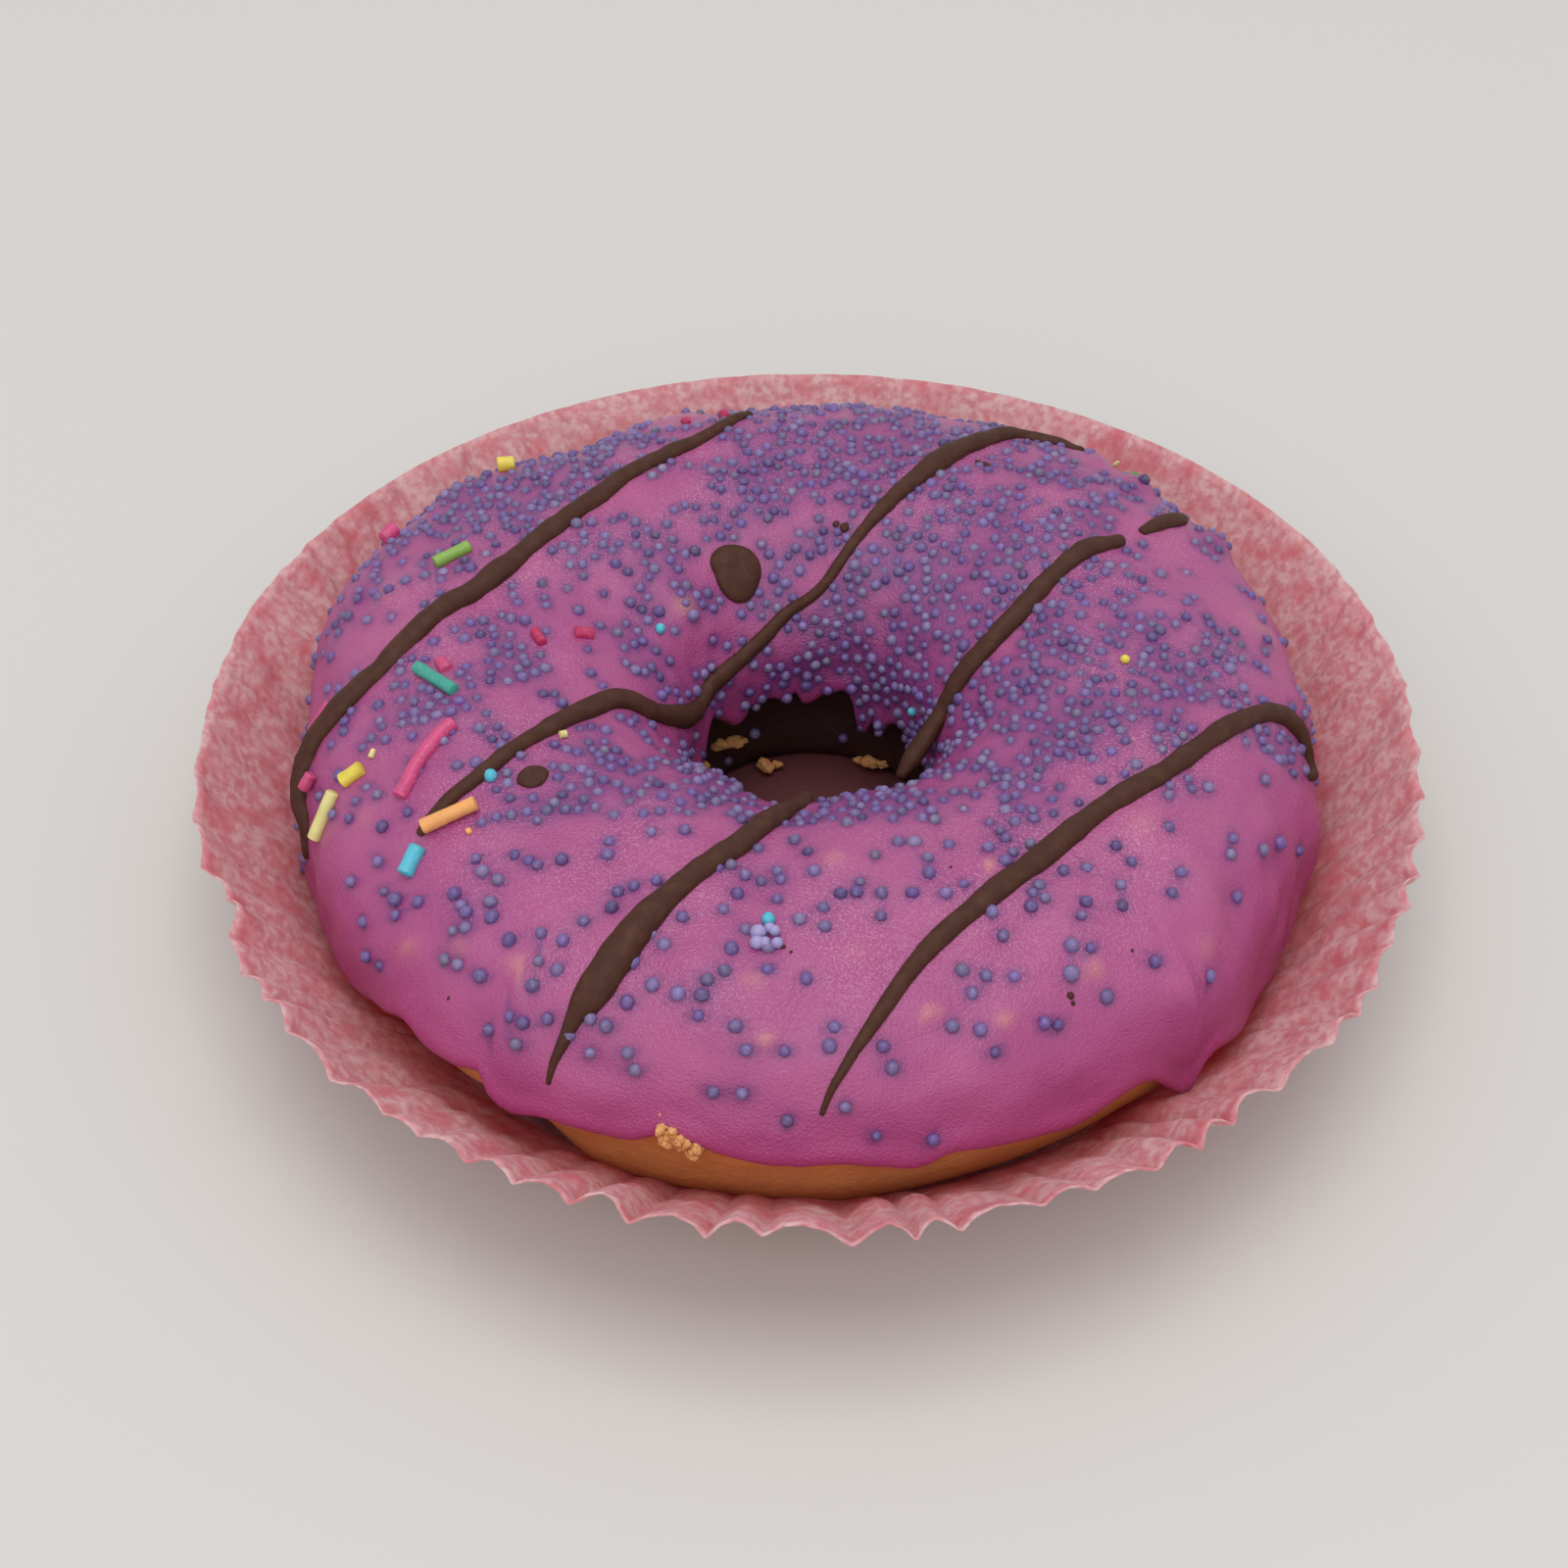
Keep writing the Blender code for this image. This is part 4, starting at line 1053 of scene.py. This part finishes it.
class DOUGHNUT_OT_paper_case(bpy.types.Operator):
    """Bends a flat sheet into the pleated paper case"""

    bl_idname = "doughnut.paper_case"
    bl_label = "Paper case"

    rows = 30

    def execute(self, context):
        case = settings().case
        grid, steps = bpy.ops.mesh.primitive_grid_add, case.pleats * 16
        sheet = add_piece("paper_case_sheet", grid, x_subdivisions=steps, y_subdivisions=self.rows, size=1.0)
        flat = read_points(sheet) * MM + 0.5
        azimuth, row = flat[:, 0] * 360.0, flat[:, 1] * self.rows
        floor_rows = 6
        on_floor = row <= floor_rows
        part = np.clip((row - floor_rows) / (self.rows - floor_rows), 0, 1)
        slant, floor_radius = case.wall_slant / MM, case.floor_radius / MM
        lean = math.degrees(case.wall_lean) - 11.0 * np.maximum(np.sin(np.radians(azimuth)), 0)
        lean += 4.0 * bell(wrapped(azimuth) / 30.0)
        out, up = slant * np.cos(np.radians(lean)), slant * np.sin(np.radians(lean))
        curve = case.wall_curve - 0.42 * flat_bell(wrapped(azimuth - 270) / 62.0)
        slope = np.arctan2(up * curve * np.maximum(part, 0.01) ** (curve - 1), out)
        rim = np.column_stack([unit_circle(azimuth), np.zeros_like(azimuth)])
        spread = ripples(rim * floor_radius, 16.0, 61) * 2.2 + ripples(rim * floor_radius, 7.0, 62) * 0.9
        phase = (azimuth + spread) * case.pleats / 360.0 * 2 * np.pi
        zigzag = 1.15 * np.arcsin(np.sin(phase) * 0.998) / (np.pi / 2)
        zigzag -= 0.20 * np.cos(2 * phase)
        calm = np.ones_like(azimuth)
        for middle, reach, amount in PRESSED:
            calm -= amount * bell(wrapped(azimuth - middle) / reach)
        uneven = 0.8 + 0.35 * ripples(rim * floor_radius, 9.0, 63)
        fold = zigzag * case.pleat_depth / MM * 0.5 * np.maximum(calm, 0.12) * uneven * part**0.8
        flatly = np.where(on_floor, 0.0, part)
        plan = rim * (floor_radius + slant * flatly)[:, None]
        crumple = ripples(plan, 9.0, 64) * 0.40 + ripples(plan, 3.5, 65) * 0.12
        crumple += ripples(plan, 1.6, 66) * 0.05
        fold += crumple * np.clip(part * 3, 0, 1)
        dent = 1.5 * bell(wrapped(azimuth - 203) / 3.5) * part**1.5
        radius = floor_radius + out * part + fold * np.sin(slope) - dent
        height = (up - 0.3) * part**curve - fold * np.cos(slope)
        radius = np.where(on_floor, floor_radius * row / floor_rows, radius)
        height = np.where(on_floor, 0.0, np.maximum(height, 0.0))
        points = np.stack([rim[:, 0] * radius, rim[:, 1] * radius, height], -1)
        write_points(sheet, points)
        layer = sheet.data.uv_layers.new(name="sheet")
        corners = np.empty(len(sheet.data.loops), int)
        sheet.data.loops.foreach_get("vertex_index", corners)
        across = np.where(on_floor, row / floor_rows * floor_radius, floor_radius + slant * part) * MM * 10
        uv = np.stack([flat[:, 0], across], -1)[corners]
        layer.data.foreach_set("uv", uv.ravel())
        # Painted shade: the floor inside the hole is fully dark red, and the paper near the dough is dark
        # red for fat and shade.
        soak_and_shade = bell(np.maximum(radius - 36.5, 0) / 3.0) * (0.62 + 0.35 * ripples(points, 5.0, 67))
        paint(sheet, "soaked_and_shaded", np.where(radius < 14, 1.0, np.clip(soak_and_shade, 0, 1)))
        rubbed = 0.30 + 0.5 * ripples(points, 6.0, 68) + 0.4 * flat_bell(wrapped(azimuth + 25) / 30.0)
        rubbed *= bell(np.maximum(radius - 42.0, 0) / 5.0)
        paint(sheet, "rubbed", np.clip(rubbed, 0, 0.9))
        merge_doubles(sheet, 1e-6)
        face_outwards(sheet)
        thicken = sheet.modifiers.new("Paper", "SOLIDIFY")
        thicken.thickness = case.paper
        thicken.offset = 1.0 if sheet.data.polygons[0].normal.z > 0 else -1.0
        bpy.ops.object.modifier_apply(modifier=thicken.name)
        smooth(sheet)
        place(sheet, "case_paper", paper_material(), "paper_case")
        return {"FINISHED"}


class DOUGHNUT_OT_dough(bpy.types.Operator):
    """Shapes the ring of golden dough"""

    bl_idname = "doughnut.dough"
    bl_label = "Dough"

    def execute(self, context):
        torus = bpy.ops.mesh.primitive_torus_add
        sizes = {"major_segments": 360, "minor_segments": 96, "major_radius": 0.03, "minor_radius": 0.01}
        dough = add_piece("dough_ring", torus, **sizes)
        azimuth, turn = self.read_angles(dough)
        base = ring_point(azimuth, turn, 0.0)
        bumps = 0.22 * ripples(base, 8.0, 71) + 0.10 * ripples(base, 3.0, 72)
        covered = np.clip((turn - read_edge(ICING_EDGE, azimuth)) / 6.0, 0, 1)
        in_hole = flat_bell((turn - 200.0) / 14.0)
        foot = flat_bell((turn - 224.0) / 9.0)
        points = ring_point(azimuth, turn, bumps * (1 - covered) - 1.3 * in_hole + 0.5 * foot)
        points[:, 2] = np.maximum(points[:, 2], 0.4)
        write_points(dough, points)
        on_side = np.cos(np.radians(turn)) > 0
        pale = bell((points[:, 2] - 7.8) / 2.4) * (0.40 + 0.25 * ripples(points, 14.0, 73))
        paint(dough, "pale", np.clip(pale * on_side, 0, 1))
        # Painted shade: the dough on the hole's side is all dark, and the outer side darkens near the bottom
        # and just under the icing's edge.
        dark = np.where(on_side, 0.55 * bell((points[:, 2] - 2.6) / 1.4), 1.0)
        dark += 0.20 * bell((turn - side_edge(azimuth) + 3.0) / 4.0) * on_side
        paint(dough, "dough_shade", np.clip(dark, 0, 1))
        smooth(dough)
        place(dough, "golden_dough", dough_material(), "dough")
        return {"FINISHED"}

    @staticmethod
    def read_angles(torus):
        """Azimuth and turn of each point of the torus that was just added."""
        points = read_points(torus)
        azimuth = np.degrees(np.arctan2(points[:, 1], points[:, 0])) % 360
        turn = np.degrees(np.arctan2(points[:, 2], np.hypot(points[:, 0], points[:, 1]) - 30.0)) % 360
        return azimuth, turn


class DOUGHNUT_OT_icing(bpy.types.Operator):
    """Pours the coat of icing over the ring"""

    bl_idname = "doughnut.icing"
    bl_label = "Icing"

    rows = 142
    outer_rows = 128
    lip_turns = (0.0, 0.25, 0.8, 1.7, 2.8, 4.0, 5.5)

    def execute(self, context):
        torus = bpy.ops.mesh.primitive_torus_add
        sizes = {"minor_segments": self.rows, "major_radius": 0.03, "minor_radius": 0.01}
        coat = add_piece("icing_coat", torus, major_segments=540, **sizes)
        azimuth, start_turn = DOUGHNUT_OT_dough.read_angles(coat)
        row = np.rint(start_turn / 360 * self.rows).astype(int) % self.rows
        lower, upper = side_edge(azimuth), hole_edge(azimuth)
        lips = len(self.lip_turns)
        last = self.outer_rows - 1
        lip_turns = np.array(self.lip_turns)
        part = np.clip((row - lips + 1) / (last - 2 * lips + 2), 0, 1)
        turn = lower + lip_turns[-1] + (upper - lower - 2 * lip_turns[-1]) * part
        turn = np.where(row < lips, lower + lip_turns[np.minimum(row, lips - 1)], turn)
        near_hole = (row > last - lips) & (row <= last)
        turn = np.where(near_hole, upper - lip_turns[np.clip(last - row, 0, lips - 1)], turn)
        under = row > last
        back = (row - last) / (self.rows - last)
        turn = np.where(under, upper + (lower - upper) * back, turn)
        height = np.where(under, -0.25, icing_height(azimuth, turn))
        at_edge = (row == 0) | (row == last)
        height = np.where(at_edge, -0.1, height)
        points = ring_point(azimuth, turn, height)
        points[:, 2] = np.maximum(points[:, 2], 0.5)
        write_points(coat, points)
        self.paint_colours(coat, points, azimuth, turn)
        smooth(coat)
        place(coat, "pink_icing", icing_material(), "icing")
        return {"FINISHED"}

    def paint_colours(self, coat, points, azimuth, turn):
        """Marks where the edge is, where pearls bleed, the rings of bleed and painted shade round them,
        painted glints on top, and where dough shows through.
        """
        from_edge = edge_distance(azimuth, turn)
        rim = 0.50 * bell(from_edge / 1.2) + 0.25 * bell(from_edge / 4.5)
        rim += 0.30 * np.clip((52 - turn) / 45, 0, 1) + 0.35 * np.clip((turn - 118) / 50, 0, 1)
        paint(coat, "rim", np.clip(rim, 0, 1))
        middles, _ = pearl_places()
        finder = kdtree.KDTree(len(middles))
        for number, middle in enumerate(middles):
            finder.insert(Vector(middle), number)
        finder.balance()
        # Dark ring round each pearl: colour bleed and painted contact shade.
        halo_bleed_and_shade = np.zeros(len(points))
        bleed = np.zeros(len(points))
        for number, point in enumerate(points):
            near = finder.find_range(Vector(point), 3.0)
            if not near:
                continue
            closest = min(distance for _, _, distance in near)
            halo_bleed_and_shade[number] = math.exp(-((max(closest - 0.45, 0) / 0.34) ** 2))
            bleed[number] = sum(math.exp(-((distance / 1.7) ** 2)) for _, _, distance in near)
        paint(coat, "halo_bleed_and_shade", np.clip(halo_bleed_and_shade, 0, 1) * 0.62)
        paint(coat, "bleed", np.clip(bleed * 0.14, 0, 0.60))
        # Painted glints: where the icing faces up to the light it gets pale specks.
        glint_area = flat_bell((turn - 82) / 34.0) * np.clip(0.60 + 0.5 * ripples(points, 9.0, 24), 0, 1)
        paint(coat, "pale_specks", 0.36 * glint_area)
        dough = np.zeros(len(points))
        for x, y, radius, _, amount in LUMPS:
            apart = np.linalg.norm(points - icing_point(x, y, 1.9), axis=1)
            dough += amount * bell(apart / (radius * 0.62))
        paint(coat, "dough", np.clip(dough, 0, 1))


class DOUGHNUT_OT_drizzle(bpy.types.Operator):
    """Lays the strands and spots of chocolate"""

    bl_idname = "doughnut.drizzle"
    bl_label = "Drizzle"

    def execute(self, context):
        height = settings().drizzle.height
        parts = []
        for number, (middle, out, width) in enumerate(strand_lines()):
            parts.append(roll_tube(f"strand_{number}", middle, out, width / 2, width * height, 20))
        for number, (x, y, high, radii) in enumerate(SPOTS):
            parts.append(self.blob(f"spot_{number}", x, y, high, radii, 36, 16))
        for number, (x, y, size) in enumerate(FLECKS):
            parts.append(self.blob(f"fleck_{number}", x, y, size * 0.6, (size, size * 0.6, size), 8, 5))
        drizzle = join("chocolate_drizzle", parts)
        smooth(drizzle)
        place(drizzle, "dark_chocolate", chocolate_material())
        return {"FINISHED"}

    def blob(self, name, x, y, high, radii, segments, rings):
        """A rounded drop that follows the icing, with these radii round it."""
        sphere = bpy.ops.mesh.primitive_uv_sphere_add
        drop = add_piece(name, sphere, segments=segments, ring_count=rings, radius=1.0)
        ball = read_points(drop) * MM
        step = 360.0 / len(radii)
        outline = [(number * step, radius) for number, radius in enumerate(radii)]
        radius = read_edge(outline, np.degrees(np.arctan2(ball[:, 1], ball[:, 0])) % 360)
        azimuth, turn = seen_from_above(x + ball[:, 0] * radius, y + ball[:, 1] * radius)
        points, _ = on_icing(azimuth, turn, np.sign(ball[:, 2]) * np.abs(ball[:, 2]) ** 0.8 * high)
        write_points(drop, points)
        face_outwards(drop)
        return drop


class DOUGHNUT_OT_pearls(bpy.types.Operator):
    """Scatters the sugar pearls over the icing"""

    bl_idname = "doughnut.pearls"
    bl_label = "Sugar pearls"

    def execute(self, context):
        sugar = settings().sugar
        draw = np.random.default_rng(sugar.seed + 1)
        middles, _ = pearl_places()
        middles = np.vstack([middles, np.array(FALLEN_PEARLS)])
        base = np.array(sugar.colour)
        tone = draw.normal(1.0, 0.16, len(middles))[:, None]
        pale = np.clip(draw.normal(0.05, 0.05, len(middles)), 0, 0.25)[:, None]
        colours = np.clip(base * tone * (1 - pale) + pale * 0.7, 0.01, 1)
        pearls = self.scatter("sugar_pearls", middles, colours, draw)
        place(pearls, "sugar_sprinkles", sugar_material())
        self.pale_cluster(draw)
        middles, _ = laid_on_icing(np.array([(x, y) for x, y, _ in ODD_PEARLS]), 0.2)
        colours = np.array([SPRINKLE_COLOURS[name] for _, _, name in ODD_PEARLS])
        odd_pearls = self.scatter("odd_pearls", middles, colours, draw)
        place(odd_pearls, "sugar_sprinkles", sugar_material())
        return {"FINISHED"}

    def pale_cluster(self, draw):
        """Clings a few pale crystals together on the front of the ring."""
        middles, _ = laid_on_icing(np.array(PALE_CLUSTER), 0.35)
        colours = np.tile((0.36, 0.31, 0.56), (len(middles), 1))
        crystals = self.scatter("pale_crystals", middles, colours, draw)
        place(crystals, "sugar_sprinkles", sugar_material())

    def scatter(self, name, middles, colours, draw):
        """Copies one small ball to all the places, each a little different."""
        radius = settings().sugar.pearl_radius / MM
        pearl = add_piece(name, bpy.ops.mesh.primitive_uv_sphere_add, segments=8, ring_count=5, radius=0.001)
        ball = read_points(pearl)
        faces = [list(face.vertices) for face in pearl.data.polygons]
        count = len(ball)
        nearer = np.clip((-middles[:, 1] - 14.0) / 22.0, 0, 1)
        sizes = radius * np.clip(draw.normal(1.0, 0.10, len(middles)), 0.78, 1.3) * (0.98 + 0.13 * nearer)
        squash = draw.uniform(0.9, 1.1, (len(middles), 1, 3))
        turns = draw.uniform(0, 2 * np.pi, len(middles))
        tilts = draw.uniform(-0.9, 0.9, len(middles))
        cos_turn, sin_turn = np.cos(turns)[:, None], np.sin(turns)[:, None]
        cos_tilt, sin_tilt = np.cos(tilts)[:, None], np.sin(tilts)[:, None]
        x, y, z = ball.T
        leaned_y, leaned_z = y * cos_tilt - z * sin_tilt, y * sin_tilt + z * cos_tilt
        turned_x, turned_y = x * cos_turn - leaned_y * sin_turn, x * sin_turn + leaned_y * cos_turn
        turned = np.stack([turned_x, turned_y, leaned_z], -1)
        points = middles[:, None, :] + turned * squash * sizes[:, None, None]
        everything = np.concatenate([np.array(face) for face in faces])
        offsets = np.arange(len(middles))[:, None] * count
        loops = (offsets + everything[None, :]).ravel()
        sizes_of_faces = np.tile([len(face) for face in faces], len(middles))
        mesh = bpy.data.meshes.new(name + "_all")
        mesh.vertices.add(len(middles) * count)
        mesh.vertices.foreach_set("co", (points * MM).ravel())
        mesh.loops.add(len(loops))
        mesh.loops.foreach_set("vertex_index", loops)
        mesh.polygons.add(len(sizes_of_faces))
        mesh.polygons.foreach_set("loop_start", np.concatenate([[0], np.cumsum(sizes_of_faces)[:-1]]))
        mesh.update(calc_edges=True)
        mesh.validate()
        old = pearl.data
        pearl.data = mesh
        bpy.data.meshes.remove(old)
        mesh.name = name
        tint(pearl, "sugar", np.repeat(colours, count, axis=0))
        smooth(pearl)
        return pearl


class DOUGHNUT_OT_rods(bpy.types.Operator):
    """Lays the rod sprinkles and their broken bits"""

    bl_idname = "doughnut.rods"
    bl_label = "Rod sprinkles"

    def execute(self, context):
        parts = []
        for number, (start, end, width, lift, name) in enumerate(RODS):
            line = np.linspace(start, end, 9)
            parts.append(self.rod(f"rod_{number}", line, width, lift, name, number))
        parts.append(self.rod("rod_curved", smooth_path(CURVED_ROD, 0.4), 1.35, 0.2, "rose", 30))
        rods = join("rod_sprinkles", parts)
        bpy.ops.object.shade_smooth_by_angle(angle=math.radians(40))
        place(rods, "sugar_sprinkles", sugar_material())
        return {"FINISHED"}

    def rod(self, name, line, width, lift, colour_name, seed):
        """One rod with blunt, slightly rounded ends."""
        middle, out = laid_on_icing(line, lift)
        if name != "rod_curved":
            inset = 0.25 * width * (middle[-1] - middle[0]) / np.linalg.norm(middle[-1] - middle[0])
            middle = np.linspace(middle[0] + inset, middle[-1] - inset, len(line))
        thick = width / 2 * (1 + 0.07 * ripples(middle, 1.5, 90 + seed))
        rod = roll_tube(name, middle, out, thick, thick, 16, end=(0.86, 0.12, 0.17))
        points = read_points(rod)
        base = np.array(SPRINKLE_COLOURS[colour_name])
        shades = 1 + 0.10 * ripples(points, 1.2, 130 + seed)
        tint(rod, "sugar", np.clip(base[None, :] * shades[:, None], 0, 1))
        return rod


class DOUGHNUT_OT_crumbs(bpy.types.Operator):
    """Drops the crumbs in the hole and at the broken edge"""

    bl_idname = "doughnut.crumbs"
    bl_label = "Crumbs"

    def execute(self, context):
        parts = []
        for number, (x, y, z, size) in enumerate(LOOSE_CRUMBS):
            crumb = add_piece(
                f"crumb_{number}", bpy.ops.mesh.primitive_ico_sphere_add, subdivisions=3, radius=1.0
            )
            ball = read_points(crumb) * MM
            rough = 1 + 0.35 * ripples(ball, 1.3, 150 + number) + 0.16 * ripples(ball, 0.5, 170 + number)
            ball = ball * rough[:, None] * size * np.array([0.75, 0.6, 0.5])
            write_points(crumb, ball + np.array([x, y, z]))
            parts.append(crumb)
        parts += self.crumbled_edge()
        crumbs = join("crumbs", parts)
        smooth(crumbs)
        place(crumbs, "golden_dough", crumb_material())
        return {"FINISHED"}

    def crumbled_edge(self):
        """Small crumbs along a short stretch of the icing's edge."""
        start, end, count = CRUMB_PATCH
        draw = np.random.default_rng(9)
        crumbs = []
        for number in range(count):
            share = draw.uniform(0, 1)
            azimuth = start[0] + (end[0] - start[0]) * share + draw.normal(0, 0.25)
            turn = start[1] + (end[1] - start[1]) * share + draw.normal(0, 2.6 - 1.3 * share)
            crumb = add_piece(
                f"small_crumb_{number}", bpy.ops.mesh.primitive_ico_sphere_add, subdivisions=2, radius=1.0
            )
            ball = read_points(crumb) * MM
            rough = 1 + 0.40 * ripples(ball, 1.2, 200 + number)
            size = draw.uniform(0.22, 0.48)
            middle = ring_point(azimuth, turn, draw.uniform(1.1, 1.9))
            write_points(crumb, ball * rough[:, None] * size + middle)
            crumbs.append(crumb)
        return crumbs


class DOUGHNUT_OT_stage(bpy.types.Operator):
    """Sets the floor, the light and the camera"""

    bl_idname = "doughnut.stage"
    bl_label = "Stage"

    def execute(self, context):
        stage = settings().stage
        floor = add_piece("floor", bpy.ops.mesh.primitive_plane_add, size=6.0)
        floor.location.z = -0.0001
        material, _, shader = new_material("pale floor")
        shader.inputs["Base Color"].default_value = solid(stage.floor)
        shader.inputs["Roughness"].default_value = 0.55
        floor.data.materials.append(material)
        self.light("key light", (0.0, 0.05, 1.40), 1.10, stage.key_power)
        self.light("fill light", (-0.20, -1.10, 0.98), 1.20, stage.fill_power)
        world = bpy.data.worlds.new("soft sky")
        world.use_nodes = True
        ground = world.node_tree.nodes["Background"]
        ground.inputs["Color"].default_value = (0.93, 0.96, 1.0, 1.0)
        ground.inputs["Strength"].default_value = stage.sky
        context.scene.world = world
        bpy.ops.object.camera_add(location=(-0.002546, -0.1726, 0.1809), rotation=(math.radians(45.1), 0, 0))
        camera = context.object
        camera.data.lens = 60.75
        camera.data.sensor_width = 36.0
        camera.data.clip_start = 0.01
        context.scene.camera = camera
        context.scene.view_settings.view_transform = "Standard"
        return {"FINISHED"}

    def light(self, name, place_at, size, watts):
        """A square soft light that points at the doughnut."""
        bpy.ops.object.light_add(type="AREA", location=place_at)
        lamp = bpy.context.object
        lamp.name = name
        lamp.data.size = size
        lamp.data.energy = watts
        lamp.rotation_euler = (Vector((0, 0, 0.01)) - Vector(place_at)).to_track_quat("-Z", "Y").to_euler()


class DOUGHNUT_PT_panel(bpy.types.Panel):
    """Lists the steps of the doughnut and its settings"""

    bl_label = "Iced ring doughnut"
    bl_idname = "DOUGHNUT_PT_panel"
    bl_space_type = "VIEW_3D"
    bl_region_type = "UI"
    bl_category = "Doughnut"

    def draw(self, context):
        layout = self.layout
        for step in STEPS:
            layout.operator(step.bl_idname)
        for group in ("ring", "icing", "case", "drizzle", "sugar", "stage"):
            box = layout.box()
            box.label(text=group.capitalize())
            own = getattr(context.scene.doughnut, group)
            for name in own.__annotations__:
                box.prop(own, name)


GROUPS = (
    RingSettings, IcingSettings, CaseSettings, DrizzleSettings, SugarSettings, StageSettings,
    DoughnutSettings,
)
STEPS = (
    DOUGHNUT_OT_paper_case, DOUGHNUT_OT_dough, DOUGHNUT_OT_icing, DOUGHNUT_OT_drizzle, DOUGHNUT_OT_pearls,
    DOUGHNUT_OT_rods, DOUGHNUT_OT_crumbs, DOUGHNUT_OT_stage,
)


def register():
    for group in GROUPS + STEPS + (DOUGHNUT_PT_panel,):
        bpy.utils.register_class(group)
    bpy.types.Scene.doughnut = bpy.props.PointerProperty(type=DoughnutSettings)


def unregister():
    del bpy.types.Scene.doughnut
    for group in reversed(GROUPS + STEPS + (DOUGHNUT_PT_panel,)):
        bpy.utils.unregister_class(group)


def main():
    register()
    bpy.ops.doughnut.paper_case()
    bpy.ops.doughnut.dough()
    bpy.ops.doughnut.icing()
    bpy.ops.doughnut.drizzle()
    bpy.ops.doughnut.pearls()
    bpy.ops.doughnut.rods()
    bpy.ops.doughnut.crumbs()
    bpy.ops.doughnut.stage()


if __name__ == "__main__":
    main()
